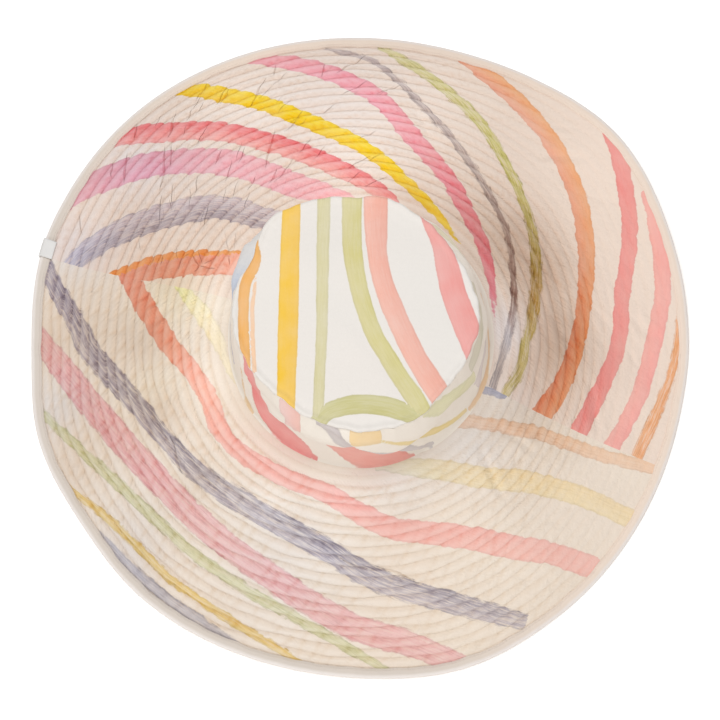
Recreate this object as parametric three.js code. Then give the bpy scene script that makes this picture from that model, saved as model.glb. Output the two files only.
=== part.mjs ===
// A wide-brimmed sun hat (capeline) of quilted cotton, lying crown up on its brim.
// Millimetres, +Z up, the front of the hat towards -Y. The origin is under the middle of the hat,
// on the surface that the brim rests on.
import * as THREE from 'three';

// Driving dimensions
const CROWN_AXIS = { x: 0.9, y: -3.5 };   // the crown stands a little forward of the brim's middle
const HEAD_RADIUS = 91.4;                 // outside of the crown where it is sewn to the brim
const SEAM_HEIGHT = 55;                   // height of that seam above the surface
const TIP_HEIGHT = 131;                   // the flat round top of the crown
const TIP_SHIFT = -1.6;                   // the soft crown leans this far towards -X
const CLOTH = 1.6;                        // two layers of plain cotton
const GAP = 0.3;                          // room left between two sewn pieces
const QUILT_ROWS = 18;                    // rings of stitching on the brim
const SMOOTH_ZONE = 14;                   // unquilted strip of the brim next to the crown
const STITCH_HALF = 0.8;                  // half the brim's thickness on a stitched ring
const RIDGE_HALF = 1.9;                   // half its thickness between two rings
const BINDING_WIDTH = 8;
const BINDING_CLOTH = 1;
const BACK_SEAM = 163;                    // the two seams that join the halves of the brim, in degrees
const FRONT_SEAM = 339;
const LABEL = { angle: 161.6, width: 13, depth: 10, cloth: 1 };

// The brim, one row for each radial section, going round from +X towards +Y:
// how far the edge reaches from the crown's axis, the height of the cloth a third and two thirds
// of the way out, and how far the edge is lifted off the surface.
const BRIM_SECTIONS = [
  { angle: 0, reach: 234, inner: 22, outer: 8, lift: 2 },
  { angle: 20, reach: 238, inner: 23, outer: 12, lift: 12 },
  { angle: 40, reach: 243.5, inner: 28, outer: 18, lift: 20 },
  { angle: 60, reach: 240, inner: 33, outer: 19, lift: 8 },
  { angle: 75, reach: 238.5, inner: 37, outer: 21, lift: 1.5 },
  { angle: 95, reach: 239.5, inner: 39, outer: 22, lift: 0 },
  { angle: 115, reach: 242.5, inner: 39, outer: 22, lift: 0.3 },
  { angle: 130, reach: 244, inner: 38, outer: 22, lift: 2.5 },
  { angle: 150, reach: 241, inner: 39, outer: 22, lift: 12.5 },
  { angle: 162, reach: 240, inner: 41, outer: 22, lift: 13 },
  { angle: 180, reach: 235, inner: 44, outer: 21, lift: 4 },
  { angle: 195, reach: 237, inner: 46, outer: 23, lift: 0.4 },
  { angle: 212, reach: 232, inner: 47, outer: 25, lift: 0 },
  { angle: 228, reach: 233, inner: 47, outer: 26, lift: 0 },
  { angle: 255, reach: 230.5, inner: 45, outer: 25, lift: 0 },
  { angle: 270, reach: 231.5, inner: 43, outer: 24, lift: 0 },
  { angle: 288, reach: 236, inner: 42, outer: 23, lift: 0 },
  { angle: 305, reach: 233.5, inner: 38, outer: 20, lift: 0 },
  { angle: 330, reach: 231, inner: 29, outer: 12, lift: 0 },
  { angle: 348, reach: 231, inner: 24, outer: 8, lift: 0.4 },
];

// The edge of the soft crown's top, which isn't quite round: its radius at each angle.
const TIP_SECTIONS = [
  { angle: 0, radius: 81.5 },
  { angle: 25, radius: 77 },
  { angle: 45, radius: 77 },
  { angle: 62, radius: 79 },
  { angle: 78, radius: 81.5 },
  { angle: 92, radius: 80 },
  { angle: 108, radius: 83 },
  { angle: 134, radius: 88 },
  { angle: 155, radius: 80.5 },
  { angle: 170, radius: 85 },
  { angle: 200, radius: 84 },
  { angle: 225, radius: 80 },
  { angle: 245, radius: 80.5 },
  { angle: 270, radius: 82.5 },
  { angle: 297, radius: 83.5 },
  { angle: 318, radius: 79 },
  { angle: 340, radius: 80.5 },
];

// The crown's side has slouched into a fold across the front: the height of the crease above the
// surface and how far the cloth bulges out over it.
const SLOUCH_SECTIONS = [
  { angle: 0, crease: 96, bulge: 0.8 },
  { angle: 60, crease: 96, bulge: 0.8 },
  { angle: 120, crease: 100, bulge: 1.5 },
  { angle: 180, crease: 104, bulge: 1 },
  { angle: 222, crease: 108, bulge: 1.2 },
  { angle: 240, crease: 103, bulge: 4 },
  { angle: 262, crease: 97, bulge: 5 },
  { angle: 285, crease: 86, bulge: 5.5 },
  { angle: 300, crease: 91, bulge: 3.5 },
  { angle: 318, crease: 97, bulge: 0.8 },
];

// Resolution of the faceted solids
const HALF_STEPS = 30;
const ROUND_STEPS = 60;
const UNDERSIDE_STEPS = 8;

const radians = (degrees) => (degrees * Math.PI) / 180;

// A smooth closed curve through the rows of a table: the value of one column at any angle.
function around(rows, column, angle) {
  const turn = ((angle % 360) + 360) % 360;
  const count = rows.length;
  let before = count - 1;
  rows.forEach((row, i) => {
    if (row.angle <= turn) before = i;
  });
  const row = (i) => rows[(i + count) % count];
  const start = row(before).angle;
  const span = (row(before + 1).angle - start + 360) % 360;
  const t = ((turn - start + 360) % 360) / span;
  const [a, b, c, d] = [-1, 0, 1, 2].map((step) => row(before + step)[column]);
  const bend = [b, (c - a) / 2, a - 2.5 * b + 2 * c - d / 2, (d - a) / 2 + 1.5 * (b - c)];
  return bend[0] + t * (bend[1] + t * (bend[2] + t * bend[3]));
}

// The one cubic that passes through four heights at 0, 1/3, 2/3 and 1.
function throughFour(h0, h1, h2, h3, s) {
  const [a, b, c] = [3 * s - 1, 3 * s - 2, s - 1];
  return (-h0 * a * b * c) / 2 + (9 * h1 * s * b * c) / 2 - (9 * h2 * s * a * c) / 2
    + (h3 * s * a * b) / 2;
}

// The brim's middle surface in one radial section.
function brimSection(angle) {
  const reach = around(BRIM_SECTIONS, 'reach', angle);
  const lift = Math.max(0, around(BRIM_SECTIONS, 'lift', angle));
  const edge = lift + STITCH_HALF + GAP + BINDING_CLOTH;
  const inner = around(BRIM_SECTIONS, 'inner', angle);
  const outer = around(BRIM_SECTIONS, 'outer', angle);
  const start = HEAD_RADIUS + GAP;
  const width = reach - BINDING_WIDTH - start;
  const height = (radius) => {
    const s = Math.min(1, (radius - start) / width);
    return throughFour(SEAM_HEIGHT, inner, outer, edge, s);
  };
  return { angle, reach, edge, start, width, height };
}

const tipRadius = (angle) => around(TIP_SECTIONS, 'radius', angle);

function place(angle, radius, height) {
  const turn = radians(angle);
  return new THREE.Vector3(radius * Math.cos(turn), radius * Math.sin(turn), height);
}

// A closed solid from a row of closed outlines. The outlines run round a full circle and join up,
// or else the first and last are closed by caps cut to their flat shape.
function solidFromOutlines(outlines, flatShape) {
  const count = outlines[0].length;
  const vertices = outlines.flat();
  const triangles = [];
  const closed = flatShape === undefined;
  const strips = closed ? outlines.length : outlines.length - 1;
  for (let i = 0; i < strips; i += 1) {
    const here = i * count;
    const next = ((i + 1) % outlines.length) * count;
    for (let j = 0; j < count; j += 1) {
      const k = (j + 1) % count;
      triangles.push([here + j, next + j, next + k], [here + j, next + k, here + k]);
    }
  }
  if (!closed) {
    const last = (outlines.length - 1) * count;
    const clockwise = THREE.ShapeUtils.isClockWise(flatShape);
    THREE.ShapeUtils.triangulateShape(flatShape, []).forEach((corners) => {
      const [a, b, c] = clockwise ? corners : corners.toReversed();
      triangles.push([c, b, a], [last + a, last + b, last + c]);
    });
  }
  return meshGeometry(vertices, triangles);
}

// Corners that lie in the same place become one, and triangles that this closes up are left out.
// The faces point outwards whichever way round the outlines were drawn.
function meshGeometry(vertices, triangles) {
  const known = new Map();
  const positions = [];
  const merged = vertices.map((v) => {
    const key = v.toArray().map((n) => Math.round(n * 1e4)).join(' ');
    if (!known.has(key)) {
      known.set(key, positions.length / 3);
      positions.push(v.x, v.y, v.z);
    }
    return known.get(key);
  });
  const faces = triangles
    .map((corners) => corners.map((i) => merged[i]))
    .filter(([a, b, c]) => a !== b && b !== c && c !== a);
  const corner = (i) => new THREE.Vector3().fromArray(positions, 3 * i);
  const volume = faces.reduce((sum, [a, b, c]) => {
    return sum + corner(a).dot(corner(b).cross(corner(c)));
  }, 0);
  const index = faces.flatMap(([a, b, c]) => (volume > 0 ? [a, b, c] : [a, c, b]));
  const geometry = new THREE.BufferGeometry();
  geometry.setAttribute('position', new THREE.Float32BufferAttribute(positions, 3));
  geometry.setIndex(index);
  geometry.computeVertexNormals();
  return geometry;
}

function fabric(color, roughness) {
  return new THREE.MeshStandardMaterial({ color, roughness, metalness: 0, side: THREE.DoubleSide });
}

function piece(name, geometry, material) {
  const mesh = new THREE.Mesh(geometry, material);
  mesh.name = name;
  return mesh;
}

// The angles of the radial sections from one seam of the brim to the other.
function sectionAngles(from, to) {
  return Array.from({ length: HALF_STEPS + 1 }, (_, i) => from + ((to - from) * i) / HALF_STEPS);
}

// Half of the brim: two layers of cotton with wadding between them, stitched through in rings, so
// that the upper side stands up in a rounded ridge between each ring and the next.
function brimHalf(from, to) {
  const endGap = GAP / 2;
  const outlines = [];
  let flatShape;
  sectionAngles(from, to).forEach((angle, i) => {
    const section = brimSection(angle);
    const end = section.reach - BINDING_CLOTH - GAP;
    const firstRow = section.start + SMOOTH_ZONE;
    const pitch = (section.reach - BINDING_WIDTH - firstRow) / QUILT_ROWS;
    const outline = [];
    const add = (radius, offset) => {
      outline.push(new THREE.Vector2(radius, section.height(radius) + offset));
    };
    for (let j = UNDERSIDE_STEPS; j >= 0; j -= 1) {
      add(section.start + (section.width * j) / UNDERSIDE_STEPS, -STITCH_HALF);
    }
    add(section.start, STITCH_HALF);
    add(firstRow, STITCH_HALF);
    for (let row = 0; row < QUILT_ROWS; row += 1) {
      add(firstRow + (row + 0.5) * pitch, 2 * RIDGE_HALF - STITCH_HALF);
      add(firstRow + (row + 1) * pitch, STITCH_HALF);
    }
    add(end, STITCH_HALF);
    add(end, -STITCH_HALF);
    // The two ends draw back along the brim by half a gap each.
    const inward = i === 0 ? 1 : i === HALF_STEPS ? -1 : 0;
    outlines.push(outline.map(({ x, y }) => {
      const back = (inward * endGap * 180) / (Math.PI * x);
      return place(angle + back, x, y);
    }));
    flatShape = flatShape ?? outline;
  });
  return solidFromOutlines(outlines, flatShape);
}

// The bias strip that is folded over the brim's edge. It lies flat where the brim rests.
function bindingRing() {
  const outlines = [];
  const hold = STITCH_HALF + GAP;
  const skin = hold + BINDING_CLOTH;
  const front = sectionAngles(BACK_SEAM, FRONT_SEAM);
  const back = sectionAngles(FRONT_SEAM, BACK_SEAM + 360);
  [...front, ...back.slice(1, -1)].forEach((angle) => {
    const { reach, edge } = brimSection(angle);
    const lip = reach - BINDING_WIDTH + GAP * 2;
    const wall = reach - BINDING_CLOTH;
    const profile = [
      [lip, edge + hold], [lip, edge + skin], [wall, edge + skin], [reach, edge + hold],
      [reach, edge - hold], [wall, edge - skin], [lip, edge - skin], [lip, edge - hold],
      [wall, edge - hold], [wall, edge + hold],
    ];
    outlines.push(profile.map(([radius, height]) => place(angle, radius, height)));
  });
  return solidFromOutlines(outlines);
}

// The crown's side, from the brim's seam up to the tip, with its slouch fold.
function sideBand() {
  const top = TIP_HEIGHT - CLOTH - GAP;
  const foot = SEAM_HEIGHT - 2;
  const radiusAt = (angle, height) => {
    const crease = around(SLOUCH_SECTIONS, 'crease', angle);
    const bulge = around(SLOUCH_SECTIONS, 'bulge', angle);
    const climb = (height - foot) / (top - foot);
    const plain = THREE.MathUtils.lerp(HEAD_RADIUS, tipRadius(angle), climb);
    const above = THREE.MathUtils.clamp((height - crease) / (top - crease), 0, 1);
    const below = THREE.MathUtils.clamp((crease - height) / (crease - foot), 0, 1);
    const out = above > 0 ? bulge * Math.sin(Math.PI * above ** 0.6) : 0;
    const tuck = height <= crease ? bulge * 0.55 * Math.cos((Math.PI / 2) * Math.sqrt(below)) : 0;
    return plain + out - tuck;
  };
  const outlines = [];
  for (let i = 0; i < ROUND_STEPS; i += 1) {
    const angle = (i * 360) / ROUND_STEPS;
    const crease = around(SLOUCH_SECTIONS, 'crease', angle);
    const levels = [
      foot, (2 * foot + crease) / 3, (foot + 2 * crease) / 3, crease - 4, crease, crease + 3,
      crease + 9, (crease + top) / 2 + 4, top,
    ];
    const shift = (height) => (TIP_SHIFT * (height - foot)) / (top - foot);
    const corner = (height, inside) => {
      const point = place(angle, radiusAt(angle, height) - inside, height);
      point.x += shift(height);
      return point;
    };
    const outside = levels.map((height) => corner(height, 0));
    const inside = levels.map((height) => corner(height, CLOTH)).reverse();
    outlines.push([...outside, ...inside]);
  }
  return solidFromOutlines(outlines);
}

// The flat round top of the crown, with the seam standing up a little round its edge.
function crownTip() {
  const seam = { width: 3, rise: 1 };
  const below = TIP_HEIGHT - CLOTH;
  const outlines = [];
  for (let i = 0; i < ROUND_STEPS; i += 1) {
    const angle = (i * 360) / ROUND_STEPS;
    const edge = tipRadius(angle);
    const rings = [
      [0, below], [40, below], [edge - 0.8, below], [edge, TIP_HEIGHT - CLOTH / 2],
      [edge - 0.6, TIP_HEIGHT + seam.rise], [edge - seam.width, TIP_HEIGHT],
      [52, TIP_HEIGHT + 0.6], [24, TIP_HEIGHT + 0.2], [0, TIP_HEIGHT],
    ];
    outlines.push(rings.map(([radius, height]) => {
      const point = place(angle, radius, height);
      point.x += TIP_SHIFT;
      return point;
    }));
  }
  return solidFromOutlines(outlines);
}

// A small woven tab folded over the binding.
function labelTab() {
  const { angle, width, depth, cloth } = LABEL;
  const flatShape = [];
  const outlines = [];
  const steps = 3;
  for (let i = 0; i <= steps; i += 1) {
    const offset = width * (i / steps - 0.5);
    const turn = angle + (offset / 235) * (180 / Math.PI);
    const { reach, edge } = brimSection(turn);
    const hold = STITCH_HALF + BINDING_CLOTH + GAP * 2;
    const skin = hold + cloth;
    const outerWall = reach + GAP;
    const lip = reach + cloth - depth;
    const profile = [
      [lip, hold], [outerWall, hold], [outerWall, -hold], [lip, -hold],
      [lip, -skin], [outerWall + cloth, -skin], [outerWall + cloth, skin], [lip, skin],
    ];
    if (i === 0) {
      flatShape.push(...profile.map(([radius, height]) => new THREE.Vector2(radius, height)));
    }
    outlines.push(profile.map(([radius, height]) => place(turn, radius, edge + height)));
  }
  return solidFromOutlines(outlines, flatShape);
}

const QUILTED_COTTON = fabric(0xe9dccb, 0.85);
const PLAIN_COTTON = fabric(0xece4dd, 0.85);
const BIAS_COTTON = fabric(0xe3d6cb, 0.8);
const WOVEN_TAPE = fabric(0xf4f3f1, 0.7);

const hat = new THREE.Group();
hat.add(
  piece('crown_tip', crownTip(), PLAIN_COTTON.clone()),
  piece('crown_side_band', sideBand(), PLAIN_COTTON.clone()),
  piece('brim_front_half', brimHalf(BACK_SEAM, FRONT_SEAM), QUILTED_COTTON.clone()),
  piece('brim_back_half', brimHalf(FRONT_SEAM, BACK_SEAM + 360), QUILTED_COTTON.clone()),
  piece('brim_binding', bindingRing(), BIAS_COTTON),
  piece('label_tab', labelTab(), WOVEN_TAPE),
);
hat.position.set(CROWN_AXIS.x, CROWN_AXIS.y, 0);

export default hat;
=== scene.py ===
# %% [markdown]
# # A quilted capeline lying on its brim
# A capeline is a soft sun hat with a very wide brim. This one has a flat-topped crown of plain
# cotton and a brim of two cottons with thin wadding between them, held together by rings of
# stitching. The cloth is printed with wide stripes that look painted with a brush. The hat lies
# crown up on a table, so the brim slopes down from the crown and ends in a soft, wavy edge.
#
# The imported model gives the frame: each piece is made here where its solid is there, in metres.

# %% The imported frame
from math import cos, pi, radians, sin

import bmesh
import bpy
import numpy as np
from mathutils import Matrix, Vector


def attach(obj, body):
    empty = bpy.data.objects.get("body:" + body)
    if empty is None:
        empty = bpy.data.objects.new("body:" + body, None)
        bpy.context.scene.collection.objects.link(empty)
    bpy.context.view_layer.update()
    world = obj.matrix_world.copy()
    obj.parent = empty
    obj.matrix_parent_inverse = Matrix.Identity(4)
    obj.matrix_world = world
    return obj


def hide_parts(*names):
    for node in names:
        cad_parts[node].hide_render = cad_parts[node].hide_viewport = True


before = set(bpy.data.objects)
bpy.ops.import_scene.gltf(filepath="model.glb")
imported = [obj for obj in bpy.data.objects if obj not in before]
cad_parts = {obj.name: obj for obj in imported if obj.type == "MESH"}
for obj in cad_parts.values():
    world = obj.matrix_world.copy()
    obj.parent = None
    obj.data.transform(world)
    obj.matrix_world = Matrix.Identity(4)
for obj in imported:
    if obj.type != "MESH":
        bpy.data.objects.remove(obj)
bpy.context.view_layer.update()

print("nodes:", ", ".join(sorted(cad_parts)))

# %% [markdown]
# ## The hat's sizes
# These are the values that the solids were made from, in millimetres. The crown stands over its
# seam with the brim, and the brim is quilted in rings from a smooth strip beside that seam to the
# binding round its edge.

# %% Sizes in millimetres
MM = 0.001
CROWN_AXIS = (0.9, -3.5)
HEAD_RADIUS = 91.4
SEAM_HEIGHT = 55.0
TIP_HEIGHT = 131.0
TIP_SHIFT = -1.6
CLOTH = 1.6
GAP = 0.3
HAIR = 0.02
QUILT_ROWS = 18
SMOOTH_ZONE = 14.0
STITCH_HALF = 0.8
BINDING_WIDTH = 8.0
BINDING_CLOTH = 1.0
MEAN_REACH = 235.0
BACK_SEAM = 163.0
FRONT_SEAM = 339.0
print("the crown's seam is", round(2 * pi * HEAD_RADIUS / 10, 1), "cm round")

# %% [markdown]
# ## The hat's outlines
# A soft hat has no true circle in it, so its shape is stated section by section. Three small tables
# give, at some angles round the crown, the brim as it lies, the crown's top and the crease in its
# side. A curve through each column gives the values between.

# %% Outlines by the angle round the crown
BRIM_SECTIONS = [
    # angle, reach, height a third and two thirds of the way out, lift of the edge off the table
    (0, 234, 22, 8, 2), (20, 238, 23, 12, 12), (40, 243.5, 28, 18, 20), (60, 240, 33, 19, 8),
    (75, 238.5, 37, 21, 1.5), (95, 239.5, 39, 22, 0), (115, 242.5, 39, 22, 0.3),
    (130, 244, 38, 22, 2.5), (150, 241, 39, 22, 12.5), (162, 240, 41, 22, 13),
    (180, 235, 44, 21, 4), (195, 237, 46, 23, 0.4), (212, 232, 47, 25, 0), (228, 233, 47, 26, 0),
    (255, 230.5, 45, 25, 0), (270, 231.5, 43, 24, 0), (288, 236, 42, 23, 0),
    (305, 233.5, 38, 20, 0), (330, 231, 29, 12, 0), (348, 231, 24, 8, 0.4),
]

TIP_SECTIONS = [
    # angle, radius
    (0, 81.5), (25, 77), (45, 77), (62, 79), (78, 81.5), (92, 80), (108, 83), (134, 88),
    (155, 80.5), (170, 85), (200, 84), (225, 80), (245, 80.5), (270, 82.5), (297, 83.5),
    (318, 79), (340, 80.5),
]

SLOUCH_SECTIONS = [
    # angle, height of the crease, bulge of the cloth over it
    (0, 96, 0.8), (60, 96, 0.8), (120, 100, 1.5), (180, 104, 1), (222, 108, 1.2), (240, 103, 4),
    (262, 97, 5), (285, 86, 5.5), (300, 91, 3.5), (318, 97, 0.8),
]


def curve_between(a, b, c, d, t):
    """A smooth curve from b to c, which leaves and arrives along the lines to their neighbours."""
    bend = (d - a) / 2 + 1.5 * (b - c)
    return b + t * ((c - a) / 2 + t * (a - 2.5 * b + 2 * c - d / 2 + t * bend))


def around(rows, column, angle):
    """One column of a table as a smooth closed curve, read at any angles in degrees."""
    knots = np.array([row[0] for row in rows], float)
    values = np.array([row[column] for row in rows], float)
    turn = np.mod(angle, 360)
    i = np.searchsorted(knots, turn, side="right") - 1
    count = len(rows)
    a, b, c, d = (values[(i + step) % count] for step in (-1, 0, 1, 2))
    span = np.mod(knots[(i + 1) % count] - knots[i % count], 360)
    return curve_between(a, b, c, d, np.mod(turn - knots[i % count], 360) / span)


print("brim reaches", round(float(around(BRIM_SECTIONS, 1, np.array(40.0))), 1), "mm at 40 degrees")

# %% [markdown]
# ## The brim's surface
# The brim hangs from the crown's seam to its edge like a shallow bell. In each radial section one
# cubic passes through four heights: the seam, the two in the table and the edge.

# %% Height of the brim
def brim_edge(angle):
    """Height of the middle of the brim's edge: the binding and half the cloth lie under it."""
    lift = np.maximum(0, around(BRIM_SECTIONS, 4, angle))
    return lift + STITCH_HALF + GAP + BINDING_CLOTH


def brim_height(angle, radius):
    """Height of the brim's middle surface, at any angles and distances from the crown's axis."""
    reach = around(BRIM_SECTIONS, 1, angle)
    start = HEAD_RADIUS + GAP
    s = np.clip((radius - start) / (reach - BINDING_WIDTH - start), 0, 1)
    a, b, c = 3 * s - 1, 3 * s - 2, s - 1
    inner, outer = around(BRIM_SECTIONS, 2, angle), around(BRIM_SECTIONS, 3, angle)
    return (-SEAM_HEIGHT * a * b * c + 9 * inner * s * b * c - 9 * outer * s * a * c
            + brim_edge(angle) * s * a * b) / 2


print("edge at 40 degrees lifts to", round(float(brim_edge(np.array(40.0))), 1), "mm")

# %% [markdown]
# ## Camera
# The photograph looks down on the hat from a little in front of it, 76.5 degrees above the table.
# The brim's ellipse and the crown's place inside it give that angle, and the way the tall crown
# grows towards the lens gives the distance of 2.2 m, so a long lens stands for the real one.

# %% Camera
ELEVATION = radians(76.5)
DISTANCE = 2.2
SENSOR, LENS = 36, 153.8
PICTURE = 720
AIM = Vector((CROWN_AXIS[0] * MM, (CROWN_AXIS[1] + 4.4) * MM, 0))

camera = bpy.data.objects.new("camera", bpy.data.cameras.new("camera"))
bpy.context.scene.collection.objects.link(camera)
away = Vector((0, -cos(ELEVATION), sin(ELEVATION)))
camera.location = AIM + DISTANCE * away
camera.rotation_euler = away.to_track_quat("Z", "Y").to_euler()
camera.data.sensor_width = SENSOR
camera.data.lens = LENS
# The hat isn't quite in the middle of the picture, which is moved by 1 pixel across and 10 up
camera.data.shift_x = -1 / PICTURE
camera.data.shift_y = -10 / PICTURE
bpy.context.scene.camera = camera
print("camera stands at", [round(x, 3) for x in camera.location])

# %% [markdown]
# ## Light
# The photograph is a bright packshot: white all round, one broad soft light close above the hat, and
# a weaker one in front of it. Light from above shows the shape by its slopes: cloth that lies flat is
# bright, and it turns darker and warmer as it falls away, most of all to the right of the crown. One
# hard lamp would draw black lines between the ridges, so each lamp is as wide as a window. The room is
# a little warm and the lamp a little cool, so that shaded cloth looks warm and lit cloth doesn't. The
# colours are shown as they are, without a film curve, so that white cloth and a white table stay white.

# %% Light and the way colours are shown
scene = bpy.context.scene
scene.view_settings.view_transform = "Standard"

room = bpy.data.worlds.new("white room")
scene.world = room
room.use_nodes = True
room.node_tree.nodes["Background"].inputs["Color"].default_value = (1, 0.93, 0.86, 1)
room.node_tree.nodes["Background"].inputs["Strength"].default_value = 0.44

for name, place, size, energy, tint in (
    ("softbox above", (-0.12, 0.16, 1.6), 1.0, 14.6, (0.96, 1, 1.05)),
    ("window in front", (-0.25, -1.6, 0.8), 1.0, 7.5, (1, 1, 1)),
):
    lamp = bpy.data.objects.new(name, bpy.data.lights.new(name, "AREA"))
    scene.collection.objects.link(lamp)
    lamp.data.shape = "DISK"
    lamp.data.size = size
    lamp.data.energy = energy
    lamp.data.color = tint
    lamp.location = place
    lamp.rotation_euler = Vector(place).to_track_quat("Z", "Y").to_euler()
    print(name, "gives", energy, "W")

# %% [markdown]
# ## Objects from meshes
# Every piece starts as a bmesh, which is Blender's way to build a mesh by code, and becomes an object
# that stays at the origin. Later steps need two lists of each mesh: which point and which face each
# corner belongs to. A UV map stores two numbers at every corner. It usually places an image, but here
# it carries numbers that the material reads.

# %% Objects and UV maps
def new_object(name, shape, smooth=True):
    """Turns a bmesh into an object that sits at the origin."""
    mesh = bpy.data.meshes.new(name)
    shape.to_mesh(mesh)
    shape.free()
    mesh.polygons.foreach_set("use_smooth", [smooth] * len(mesh.polygons))
    made = bpy.data.objects.new(name, mesh)
    scene.collection.objects.link(made)
    return made


def corner_points(mesh):
    """The number of the point at each corner of each face."""
    numbers = np.empty(len(mesh.loops), int)
    mesh.loops.foreach_get("vertex_index", numbers)
    return numbers


def corner_faces(mesh):
    """The number of the face at each corner."""
    totals = np.empty(len(mesh.polygons), int)
    mesh.polygons.foreach_get("loop_total", totals)
    return np.repeat(np.arange(len(totals)), totals)


def write_map(piece, name, u, v):
    """Writes a UV map from two values at each corner."""
    pairs = np.column_stack([u, v]).astype(np.float32)
    piece.data.uv_layers.new(name=name).data.foreach_set("uv", pairs.ravel())


# %% [markdown]
# ## Colours, materials and nodes
# Paint and cloth colours are written as sRGB hex values, the way a colour picker shows them.
# Blender mixes light in linear values, so one function turns them round. A material is a net of
# nodes. One function adds a node with its settings and links in one call, so a material reads like
# a recipe, and another gives the shader at its end a colour and a relief.

# %% Colours, materials and nodes
def linear(hex_colour):
    """A colour such as "#f2cb2e" in linear red, green, blue and alpha."""
    parts = [int(hex_colour[i:i + 2], 16) / 255 for i in (1, 3, 5)]
    return [p / 12.92 if p <= 0.04045 else ((p + 0.055) / 1.055) ** 2.4 for p in parts] + [1.0]


def new_material(name, shader_values):
    """A material whose shader has these values."""
    material = bpy.data.materials.new(name)
    material.use_nodes = True
    for socket, value in shader_values.items():
        material.node_tree.nodes["Principled BSDF"].inputs[socket].default_value = value
    return material


def feed(material, socket, value):
    """Gives a socket a number or colour, or links it to an output. A node stands for its factor, or
    else for its first live output."""
    if isinstance(value, bpy.types.Node):
        live = [output for output in value.outputs if output.enabled]
        value = value.outputs.get("Fac", live[0])
    if isinstance(value, bpy.types.NodeSocket):
        material.node_tree.links.new(value, socket)
    else:
        socket.default_value = value


def add_node(material, kind, inputs=None, **settings):
    """Adds a shader node of this kind with its settings, and feeds its inputs."""
    made = material.node_tree.nodes.new("ShaderNode" + kind)
    for name, value in settings.items():
        setattr(made, name, value)
    for socket, value in (inputs or {}).items():
        feed(material, made.inputs[socket], value)
    return made


def finish_material(material, colour, relief):
    """Gives the material's shader its colour and a relief in millimetres."""
    bump = add_node(material, "Bump", {"Height": relief, "Distance": MM, "Strength": 1.0})
    shader = material.node_tree.nodes["Principled BSDF"]
    feed(material, shader.inputs["Base Color"], colour)
    feed(material, shader.inputs["Normal"], bump)
    print(material.name, "has", len(material.node_tree.nodes), "nodes")


# %% [markdown]
# ## The table
# The hat lies on a matt white table top. A packshot table is lit from below as well, which keeps the
# shadows on it pale, so its material gives a little light of its own.

# %% Table
TABLE_HALF = 1.5
TABLE_DROP = 0.3

table_shape = bmesh.new()
bmesh.ops.create_grid(table_shape, x_segments=2, y_segments=2, size=TABLE_HALF)
bmesh.ops.translate(table_shape, verts=table_shape.verts, vec=(0, 0, -TABLE_DROP * MM))
table = new_object("table", table_shape, smooth=False)
table.data.materials.append(new_material("matt white table top", {
    "Base Color": linear("#fefefd"), "Roughness": 0.9,
    "Emission Color": (1, 1, 1, 1), "Emission Strength": 0.25}))
print("table is", 2 * TABLE_HALF, "m wide")
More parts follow.
